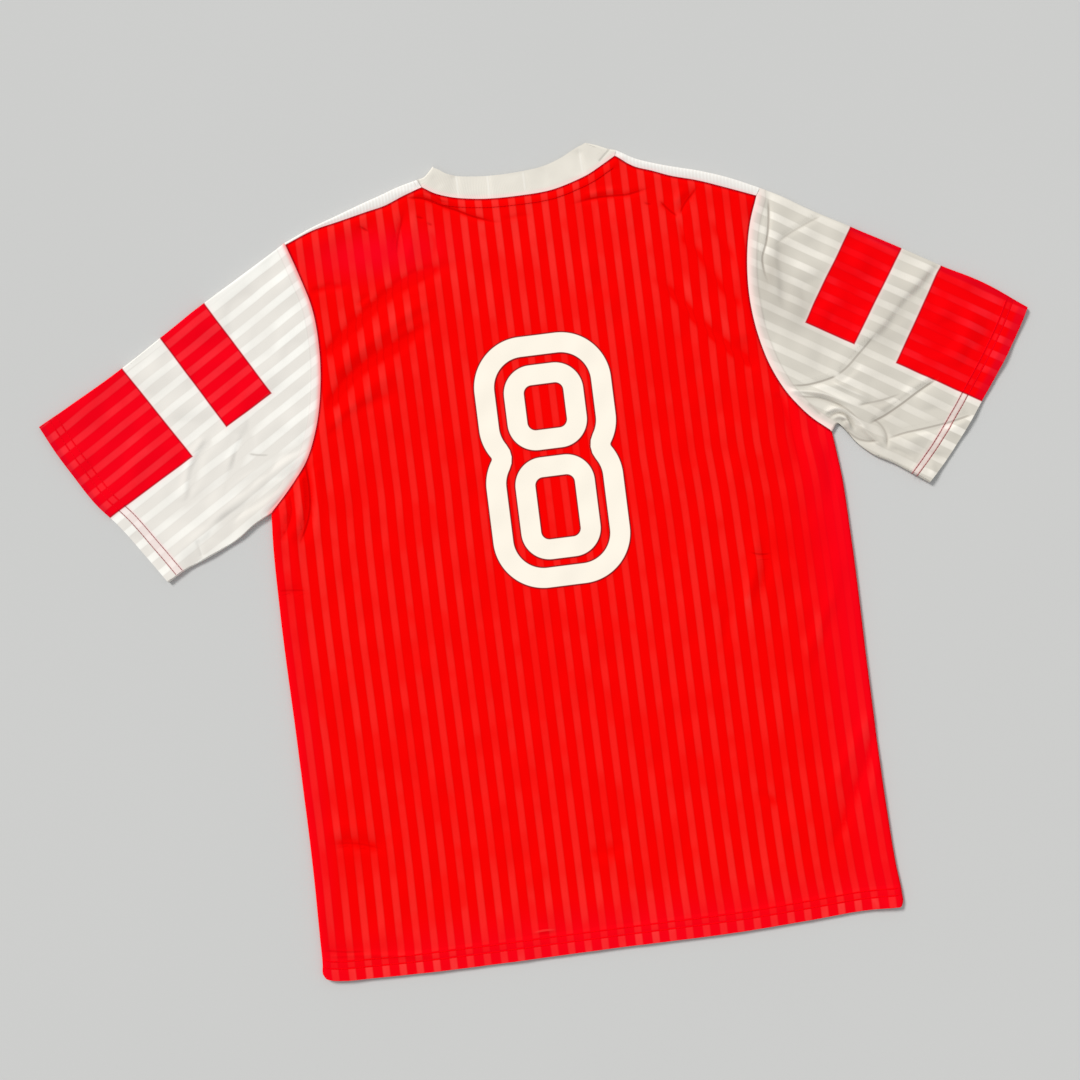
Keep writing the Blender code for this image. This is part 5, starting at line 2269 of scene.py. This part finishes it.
@dataclass
class Neckband:
    """Rib neckband: a flattened ring, its back on top and its front on the floor."""

    garment: Garment
    across_steps: int = 16
    back_steps: int = 200
    yoke_steps: int = 36
    bowl_steps: int = 128
    # Points of the seam that the free edge follows: all but the ends, and one of so many
    free_trim: int = 8
    free_stride: int = 6
    facts: SheetFacts = SheetFacts(0.500, 0.0235, 0.0112, ("floor",))

    def roll(self, hand: Hand) -> Roll:
        """Roll along one fold of the neckband.

        Args:
            hand: The wearer's side.

        Returns:
            The roll.
        """
        garment, parts = self.garment, even(self.across_steps)
        fold = garment.plan.band_fold(hand, parts)
        ahead = unit(fold[-1] - fold[0])
        level = np.array((-ahead[1], ahead[0])) * -hand.value
        turn = ease(parts, 0.0, 0.5)[:, None]
        outward = unit((1.0 - turn) * garment.shoulder_roll(hand).outward[0] + turn * level)
        roll = garment.lie.roll(fold, outward)
        roll.centres[0] += ahead * garment.lie.seam
        return roll

    def layer(self, seam: Array, inner: Array, ends: tuple[Array, Array]) -> Array:
        """Places of one layer of the neckband.

        Args:
            seam: Its seam, from left to right.
            inner: Places along its free edge, without both ends.
            ends: Centres of the left roll and of the right roll.

        Returns:
            Rows from the seam to the free edge and columns from left to right.
        """
        left, right = ends
        free = smooth([left[-1], *inner, right[-1]], even(len(seam) - 1))
        seam = beside(seam, self.garment.lie.seam)
        seam[0], seam[-1] = left[0], right[0]
        return patch(seam, free, left, right)

    def build(self, material: Material) -> Piece:
        """Mesh of the neckband.

        Args:
            material: The piece's finish.

        Returns:
            The piece.
        """
        garment, plan, lie = self.garment, self.garment.plan, self.garment.lie
        left, right = self.roll(Hand.LEFT), self.roll(Hand.RIGHT)
        ends = left.centres, right.centres
        seam = plan.band_seam(even(self.back_steps))
        back_seam = np.concatenate((ends[0][:1], seam, ends[1][:1]))
        back = self.layer(back_seam, np.array(plan.back_band)[:, 2:] * MM, ends)
        front_seam = garment.front_neck(self.yoke_steps, self.bowl_steps)
        inner = beside(front_seam, plan.band_width * MM)[self.free_trim:-self.free_trim:self.free_stride]
        front = self.layer(front_seam, inner, ends)
        top = np.swapaxes(garment.top_sheet(back, np.zeros_like(back), np.zeros((2, 2))), 0, 1)
        floor = np.swapaxes(garment.floor_sheet(front, np.zeros_like(front)), 0, 1)
        floor[(0, -1), :, 2] = lie.floor_mid
        over_right = np.swapaxes(garment.rolled(right, top[-1], floor[-1]), 0, 1)
        over_left = np.swapaxes(garment.rolled(left, top[0], floor[0]), 0, 1)
        sheet = np.concatenate((top, over_right, floor[::-1], over_left[::-1]))
        middle = sheet[:, self.across_steps // 2, MIDDLE]
        across = np.linspace(0.0, plan.band_width * MM, sheet.shape[1])
        sheet[..., CLOTH_AT] = np.stack(np.broadcast_arrays(lengths_along(middle)[:, None], across), axis=-1)
        piece = wall("neckband_rib", sheet, lie.cloth, ring=True)
        return dress(piece, material, "rib_white", "neckband")


# ---- Number and stitching ----

class Arc(NamedTuple):
    """A corner of an outline in millimetres and degrees; a hollow one bends the other way."""

    across: float
    up: float
    radius: float
    start: float
    end: float
    hollow: bool = False

    def ways(self, parts: Array) -> Array:
        """Directions from its centre at fractions of its sweep."""
        angles = np.radians(self.start) + math.radians(self.end - self.start) * parts
        return np.stack((np.cos(angles), np.sin(angles)), axis=1)

    def points(self, parts: Array) -> Array:
        """Places at fractions of its sweep."""
        return np.array((self.across, self.up)) + self.radius * self.ways(parts)


@dataclass
class BackNumber:
    """A plain rounded 8 in two bands, pressed on the back."""

    garment: Garment
    half_width: float = 68.0
    low: float = 356.0
    high: float = 605.5
    waist: float = 489.0
    waist_out: float = 58.5
    corner: float = 50.0
    notch: float = 3.0
    band: float = 20.0
    counter_half: float = 19.5
    counter_corner: float = 8.0
    counters: Rows = ((403.5, 465.0), (512.0, 556.5))
    film: float = 0.00035
    # How far each band reaches past both its edges, in millimetres, so that its painted shadow lies on the
    # cloth
    rim: float = 1.0
    step: float = 2.4
    least_steps: int = 4
    rows: int = 6

    def outline(self) -> list[Arc]:
        """Corners of the outer edge, to the left hand all the way round.

        Returns:
            The corners.
        """
        out = self.half_width - self.corner
        rise = math.sqrt(self.corner ** 2 - (self.waist_out - out) ** 2)
        reach = self.corner + self.notch
        notch_out = out + math.sqrt(reach ** 2 - rise ** 2)
        lean = math.degrees(math.atan2(rise, notch_out - out))
        low, high = self.low + self.corner, self.high - self.corner
        under, over = self.waist - rise, self.waist + rise
        right = [
            Arc(out, low, self.corner, -90.0, 0.0),
            Arc(out, under, self.corner, 0.0, lean),
            Arc(notch_out, self.waist, self.notch, 180.0 + lean, 180.0 - lean, True),
            Arc(out, over, self.corner, -lean, 0.0),
            Arc(out, high, self.corner, 0.0, 90.0),
        ]
        left = [Arc(-arc.across, arc.up, arc.radius, 180.0 - arc.end, 180.0 - arc.start, arc.hollow)
                for arc in reversed(right)]
        return right + left

    def counter(self, low: float, high: float) -> list[Arc]:
        """Corners of one counter."""
        out, radius = self.counter_half - self.counter_corner, self.counter_corner
        centres = ((out, low + radius), (out, high - radius), (-out, high - radius), (-out, low + radius))
        return [Arc(*centre, radius, 90.0 * turn - 90.0, 90.0 * turn) for turn, centre in enumerate(centres)]

    def traced(self, arcs: list[Arc], reach: float) -> tuple[Array, Array]:
        """Trace an outline.

        Args:
            arcs: Its corners, to the left hand all the way round.
            reach: Distance outside it at which the steps are still fine enough.

        Returns:
            Points round it, and the direction out of it at each.
        """
        points: list[Array] = []
        outs: list[Array] = []
        for arc, following in zip(arcs, arcs[1:] + arcs[:1]):
            sweep = abs(math.radians(arc.end - arc.start))
            parts = even(max(self.least_steps, round(sweep * (arc.radius + reach) / self.step)))
            line, ways = arc.points(parts), arc.ways(parts) * (-1.0 if arc.hollow else 1.0)
            target = following.points(np.zeros(1))[0]
            count = round(float(np.linalg.norm(target - line[-1])) / self.step)
            kept = len(line) if count else len(line) - 1
            between = even(max(count, 1))[1:-1, None]
            points.extend((line[:kept], line[-1] * (1.0 - between) + target * between))
            outs.extend((ways[:kept], np.tile(ways[-1], (len(between), 1))))
        return np.concatenate(points), np.concatenate(outs)

    def ring(self, arcs: list[Arc], near: float, far: float, name: str) -> Piece:
        """One band of the number.

        Args:
            arcs: Corners of an outline.
            near: Distance outside the outline at which the band starts.
            far: Distance at which it ends.
            name: Name of the piece.

        Returns:
            The piece.
        """
        points, outs = self.traced(arcs, far)
        away = np.linspace(near - self.rim, far + self.rim, self.rows + 1)
        places = (points[:, None] + outs[:, None] * away[None, :, None]) * MM
        lie = self.garment.lie
        height = lie.top(places).height + lie.cloth / 2 + self.film / 2
        sheet = sheet_of(with_height(places, height), UP, places)
        # Distance inside the band's nearest edge, where the painted shadow of its rim is drawn
        sheet[..., TURNED] = np.minimum(away - away[0], away[-1] - away) * MM
        return wall(name, sheet, self.film, ring=True)

    def build(self, material: Material) -> tuple[Piece, ...]:
        """Meshes of the number's bands.

        Args:
            material: The piece's finish.

        Returns:
            The pieces, one for each band.
        """
        pieces = [self.ring(self.outline(), -self.band, 0.0, "number_outer_band")]
        for title, (low, high) in zip(("lower", "upper"), self.counters):
            pieces.append(self.ring(self.counter(low, high), 0.0, self.band, f"number_{title}_band"))
        return tuple(dress(piece, material, "number_white") for piece in pieces)


@dataclass
class StitchRows:
    """Rows of short stitches that lie on the cloth."""

    garment: Garment
    name: str
    length: float = 0.0033
    gap: float = 0.00015
    radius: float = 0.00030
    sides: int = 6
    # Parts of its length, each with a share of its radius
    sections: Rows = ((0.0, 0.6), (0.15, 0.95), (0.5, 1.0), (0.85, 0.95), (1.0, 0.6))
    # How far a stitch's middle stands off the cloth, and how much lower its ends are, in radii
    stand: float = 0.7
    sunk: float = 0.35
    # Share of that on the floor layer, where it presses the stitches into the cloth
    floor_share: float = 0.2
    tint: Union[Callable[[Array], Array], None] = None

    def surface(self, places: Array, on_top: bool) -> Array:
        """Height of the cloth's outer face, down round the folds.

        Args:
            places: Places across and up, one row each.
            on_top: Whether they are on the top layer.

        Returns:
            The height at each place.
        """
        lie = self.garment.lie
        if not on_top:
            return lie.floor(places) - lie.cloth / 2
        height = lie.top(places).height
        radius = (height - lie.floor_mid + lie.cloth) / 2
        short = np.clip(radius - nearest_gap(lie.outline_tree, places), 0.0, radius)
        return height + lie.cloth / 2 - radius + np.sqrt(radius ** 2 - short ** 2)

    def stitches(self, line: Array, on_top: bool) -> tuple[Array, Array]:
        """Stitches along a line.

        Args:
            line: Places across and up.
            on_top: Whether it runs on the top layer.

        Returns:
            Start and end in space of each stitch, and the share by which it stands off.
        """
        gone = lengths_along(line)
        starts = np.arange(self.gap, gone[-1] - self.length, self.length + self.gap)
        ends = []
        for stops in (starts, starts + self.length):
            places = sampled(stops, gone, line)
            ends.append(with_height(places, self.surface(places, on_top)))
        return np.stack(ends, axis=1), np.full(len(starts), 1.0 if on_top else self.floor_share)

    def build(self, lines: Lines, material: Material, slot: str) -> Piece:
        """One mesh of every stitch.

        Args:
            lines: Lines in plan, each with whether it runs on the top layer.
            material: The thread's finish.
            slot: The record's slot of the thread.

        Returns:
            The piece.
        """
        rows = [self.stitches(line, on_top) for line, on_top in lines]
        spans = np.concatenate([row[0] for row in rows])
        corners = self._tubes(spans, np.concatenate([row[1] for row in rows]))
        each = len(self.sections) * self.sides
        faces = self._faces() + np.arange(len(spans))[:, None, None] * each
        details = np.zeros((len(spans), each, COLUMNS - CLOTH_AT.start))
        details[..., :2] = self._cloth()
        if self.tint:
            details[..., TINT - CLOTH_AT.start] = self.tint(spans[:, 0, :2])[:, None]
        piece = placed(self.name, corners, faces.reshape(-1, 4), details.reshape(len(corners), -1))
        return dress(piece, material, slot)

    def _ring(self) -> Array:
        """Angles of a stitch's sides."""
        return math.tau * np.arange(self.sides) / self.sides

    def _tubes(self, spans: Array, raised: Array) -> Array:
        """Corners of every stitch.

        Args:
            spans: Start and end of each.
            raised: Share by which each stands off the cloth.

        Returns:
            One row for each corner.
        """
        parts, shares = np.array(self.sections).T[:, None, :, None]
        start, run = spans[:, :1], spans[:, 1:] - spans[:, :1]
        centres = start + run * parts
        stand = self.radius * (self.stand - self.sunk * (2.0 * parts - 1.0) ** 2)
        centres[..., 2] += stand[..., 0] * raised[:, None]
        side = unit(np.cross(UP, run))
        ring = self._ring()[:, None]
        circles = np.cos(ring) * side + np.sin(ring) * UP
        corners = centres[:, :, None] + circles[:, None] * self.radius * shares[..., None]
        return corners.reshape(-1, 3)

    def _cloth(self) -> Array:
        """Place on the thread of each corner of a stitch."""
        along = np.array(self.sections)[:, :1] * self.length
        return np.stack(np.broadcast_arrays(along, self._ring() * self.radius), axis=-1).reshape(-1, 2)

    def _faces(self) -> Array:
        """Faces of one stitch of six sides, with two faces on each end.

        Returns:
            Four corner numbers for each face.
        """
        number = np.arange(len(self.sections) * self.sides).reshape(-1, self.sides)
        after = np.roll(number, -1, axis=1)
        around = np.stack((number[:-1], after[:-1], after[1:], number[1:]), axis=-1).reshape(-1, 4)
        halves = np.array(((0, 1, 2, 3), (3, 4, 5, 0)))
        return np.concatenate((around, number[0][halves[:, ::-1]], number[-1][halves]))


@dataclass(frozen=True)
class SeamLines:
    """Lines in plan that the stitch rows follow, each with whether it runs on the top layer."""

    garment: Garment
    clear: float = 0.0008
    hem_steps: int = 300
    hem_trim: int = 8
    cuff_steps: int = 240
    cuff_trim: int = 3
    neck_steps: int = 200
    neck_trim: int = 6

    def hem(self) -> Lines:
        """Both rows of the body's hem, on the back and under the front.

        Returns:
            The lines.
        """
        plan = self.garment.plan
        corners = [plan.side_edge(hand, np.zeros(1))[0] for hand in Hand]
        low = plan.hem_between(*corners, even(self.hem_steps))
        rows = [self._both(low + (0.0, row * MM), self.hem_trim) for row in plan.stitch_rows]
        return sum(rows, [])

    def cuff(self, hand: Hand) -> Lines:
        """Both rows of a cuff, on both layers.

        Args:
            hand: The wearer's side.

        Returns:
            The lines.
        """
        plan, parts = self.garment.plan, even(self.cuff_steps)
        inward = -self.garment.lie.sleeves[hand].along
        lines: Lines = []
        for row in range(2):
            top, under = plan.cuff_row(hand, row)
            offsets = under + (top - under) * parts
            lines += self._both(plan.cuff(hand, parts) + inward * offsets[:, None], self.cuff_trim)
        return lines

    def neck(self) -> Lines:
        """Row that holds the neck tape, under the back neckline."""
        line = self.garment.plan.band_seam(even(self.neck_steps))[self.neck_trim:-self.neck_trim]
        return [(beside(line, -self.garment.lie.tape_depth), True)]

    def _both(self, line: Array, trim: int) -> Lines:
        """A row on the top layer, clear of the outline, and a shorter one on the floor layer."""
        line = line[nearest_gap(self.garment.lie.outline_tree, line) > self.clear]
        return [(line, True), (line[trim:-trim], False)]


def on_block(garment: Garment, hand: Hand, places: Array) -> Array:
    """Tell printed cloth from white cloth near a cuff.

    Args:
        garment: The laid garment.
        hand: The wearer's side.
        places: Places across and up, one row each.

    Returns:
        1 where a place is on the printed block, and 0 below it.
    """
    depth = (LEFT_BLOCKS if hand is Hand.LEFT else RIGHT_BLOCKS)[-1].depth
    return (garment.lie.sleeves[hand].cloth(places)[:, 0] < depth).astype(float)


# ---- Studio ----

@dataclass
class Studio:
    """Floor, light and camera."""

    view_width: float = 1.0692
    view_centre: tuple[float, float] = (-0.0148, 0.0141)
    view_turn: float = -7.2
    camera_height: float = 1.6
    sensor: float = 36.0
    floor_half: float = 4.0
    floor_drop: float = 0.0004
    floor_light: Colour = (0.62, 0.625, 0.62, 1.0)
    floor_dim: Colour = (0.57, 0.575, 0.57, 1.0)
    # Noises of the floor, in patches for each metre, and what each is worth
    floor_cloudy: float = 1.5
    floor_grain: float = 600.0
    cloudy_share: float = 0.6
    grain_share: float = 0.1
    floor_roughness: float = 0.8
    floor_specular: float = 0.2
    floor_relief: float = 0.0002
    key_direction: tuple[float, float, float] = (-0.61, 0.79, 0.92)
    key_distance: float = 6.0
    key_spread: float = 18.0
    key_strength: float = 2.45
    key_colour: tuple[float, float, float] = (1.0, 0.985, 0.96)
    ambient: float = 0.49
    ambient_colour: Colour = (0.98, 0.99, 1.0, 1.0)

    def build(self) -> None:
        """Make the whole studio."""
        self.floor()
        self.lights()
        self.camera()
        bpy.context.scene.view_settings.view_transform = "Standard"

    def floor(self) -> None:
        """Plain pale floor."""
        half = self.floor_half
        mesh = bpy.data.meshes.new("floor")
        corners = [(-half, -half, 0.0), (half, -half, 0.0), (half, half, 0.0), (-half, half, 0.0)]
        mesh.from_pydata(corners, [], [(0, 1, 2, 3)])
        graph = Graph("floor_pale")
        cloudy = graph.noise(self.floor_cloudy, 3.0)
        grain = graph.noise(self.floor_grain, 2.0)
        colour = graph.blend(cloudy * self.cloudy_share, self.floor_light, self.floor_dim)
        roughness = self.floor_roughness + grain * self.grain_share
        mesh.materials.append(graph.finish(colour, roughness, grain, self.floor_relief, 0.2,
                                           {"Specular IOR Level": self.floor_specular}))
        floor = add_object("floor", mesh)
        floor.location = (0.0, 0.0, -self.floor_drop)

    def lights(self) -> None:
        """Soft key light from the upper left, and an even surround."""
        data = bpy.data.lights.new("key", "SUN")
        data.angle = math.radians(self.key_spread)
        data.energy = self.key_strength
        data.color = self.key_colour
        key = add_object("key", data)
        away = unit(np.array(self.key_direction))
        key.location = tuple(away * self.key_distance)
        key.rotation_mode = "QUATERNION"
        key.rotation_quaternion = Vector(away).to_track_quat("Z", "Y")
        world = bpy.data.worlds.new("surround")
        world.use_nodes = True
        background = world.node_tree.nodes["Background"]
        background.inputs["Color"].default_value = self.ambient_colour
        background.inputs["Strength"].default_value = self.ambient
        bpy.context.scene.world = world

    def camera(self) -> None:
        """Camera straight above, turned a little so that the garment leans to the left."""
        data = bpy.data.cameras.new("camera")
        data.sensor_width = self.sensor
        data.lens = self.sensor * self.camera_height / self.view_width
        camera = add_object("camera", data)
        camera.location = (*self.view_centre, self.camera_height)
        camera.rotation_euler = (0.0, 0.0, math.radians(self.view_turn))
        bpy.context.scene.camera = camera


# ---- The whole jersey ----

PINK = linear(255, 196, 198)
BODY_STRIPES = Stripes(pitch=0.01662, width=0.0070, middle=-0.0078)
LEFT_BLOCKS = (Block(0.0995, 0.1545, 0.1110), Block(0.2030, 0.4000, 0.1140, start_lean=-0.031))
RIGHT_BLOCKS = (
    Block(0.0980, 0.1520, 0.1030, start_lean=-0.019, end_lean=-0.039),
    Block(0.1955, 0.4000, 0.1032, start_lean=-0.015),
)


def red_knit(plan: Plan) -> StripedKnit:
    """Red knit of the body.

    Args:
        plan: Plan of the laid garment.

    Returns:
        The finish.
    """
    dye = Dye(linear(248, 1, 0), linear(255, 80, 72), satin=0.165, patchy=0.50, groove=0.12)
    # Painted shadow beside the seams
    shadow = SeamEdge(linear(150, 0, 16), 0.85, 0.0026)
    rows = tuple(row * MM for row in plan.stitch_rows)
    return StripedKnit("knit_red", dye, linear(248, 2, 30), BODY_STRIPES, shadow, rows,
                       turned_gleam=2.0, row_shade=0.05)


def left_knit(plan: Plan) -> StripedKnit:
    """White knit of the left sleeve, with its two printed blocks.

    Args:
        plan: Plan of the laid garment.

    Returns:
        The finish.
    """
    dye = Dye(linear(233, 229, 222), linear(255, 254, 248), satin=0.57, groove=0.03)
    print_dye = Dye(linear(246, 1, 24), linear(252, 50, 60), satin=0.57, groove=0.08)
    stripes = Stripes(0.01715, 0.0072, 0.0067, 0.0335, fold_highlight=0.0085)
    rows = plan.stitch_rows[0], plan.stitch_rows[0] + plan.left_rows[1][0] - plan.left_rows[0][0]
    glow = SeamEdge(linear(255, 148, 148), 0.9, 0.0072, soft=True)
    return StripedKnit("knit_white_left", dye, linear(196, 190, 180), stripes, glow,
                       tuple(row * MM for row in rows), print_dye=print_dye, blocks=LEFT_BLOCKS,
                       allowance=ALLOWANCE, crease=linear(150, 145, 138))


def right_knit(plan: Plan) -> StripedKnit:
    """White knit of the right sleeve, with its two printed blocks, its white drawn darker than the left
    sleeve's as painted shade.

    Args:
        plan: Plan of the laid garment.

    Returns:
        The finish.
    """
    # Darker whites than on the left sleeve: painted shade
    dye = Dye(linear(215, 210, 199), linear(245, 240, 230), satin=0.57, groove=0.03)
    print_dye = Dye(linear(248, 1, 8), linear(252, 36, 48), satin=0.5, patchy=0.75, groove=0.08)
    stripes = Stripes(0.01665, 0.0070, 0.0033, 0.012)
    rows = plan.stitch_rows[0], plan.stitch_rows[0] + plan.right_rows[1][1] - plan.right_rows[0][1]
    glow = SeamEdge(linear(255, 225, 219), 0.95, 0.0080)
    return StripedKnit("knit_white_right", dye, linear(172, 165, 154), stripes, glow,
                       tuple(row * MM for row in rows), print_dye=print_dye, blocks=RIGHT_BLOCKS,
                       allowance=ALLOWANCE, row_shade=0.25, crease=linear(128, 116, 106))


def yoke_knit() -> StripedKnit:
    """White knit of the shoulder pieces, whose faint stripes run across them."""
    dye = Dye(linear(246, 242, 236), linear(255, 254, 250), satin=0.5, groove=0.10)
    return StripedKnit("knit_white_yoke", dye, PINK, Stripes(0.0033, 0.0016, 0.0, blur=0.0005),
                       SeamEdge(PINK, 0.50, 0.0036))


def main() -> None:
    """Build the jersey and its studio."""
    logging.basicConfig(level=logging.INFO)
    plan = Plan()
    garment = Garment(plan, Lie(plan))
    red = red_knit(plan).material()
    whites = {Hand.LEFT: left_knit(plan).material(), Hand.RIGHT: right_knit(plan).material()}
    yoke_white = yoke_knit().material()
    glow = SeamEdge(linear(255, 217, 214), 0.75, 0.0056, start=0.0004)
    rib = RibKnit("rib_white", linear(236, 231, 220), glow).material()
    # Colours of the film, and the dark red of the painted shadow along its rim
    film_and_rim_shadow = linear(255, 248, 234), linear(251, 241, 226), linear(138, 0, 10)
    film = PrintFilm("number_white", *film_and_rim_shadow).material()
    on_print = linear(252, 2, 26)
    thread = Thread("thread_red", linear(160, 16, 44), linear(124, 4, 24), on_print, 0.05).material()
    hem_thread = Thread("thread_hem", linear(253, 4, 6), linear(246, 1, 4), on_print, 0.01).material()
    tape_thread = Thread("thread_tape", linear(238, 2, 8), linear(220, 0, 6), on_print, 0.01).material()

    front = FrontPanel(garment)
    front.build(red)
    back = BackPanel(garment)
    back_piece = back.build(red)
    number = BackNumber(garment).build(film)
    lines = SeamLines(garment)
    hem = StitchRows(garment, "stitches_hem").build(lines.hem(), hem_thread, "thread_red")
    neck = StitchRows(garment, "stitches_neck").build(lines.neck(), tape_thread, "thread_red")
    for hand in Hand:
        shoulder = ShoulderPiece(garment, hand)
        shoulder.build(yoke_white)
        sleeve = Sleeve(garment, hand)
        panel = sleeve.build(whites[hand])
        rows = StitchRows(garment, f"stitches_cuff_{hand.word}", tint=partial(on_block, garment, hand))
        cuff = rows.build(lines.cuff(hand), thread, "thread_red")
    band = Neckband(garment)
    band.build(rib)
    Studio().build()


if __name__ == "__main__":
    main()
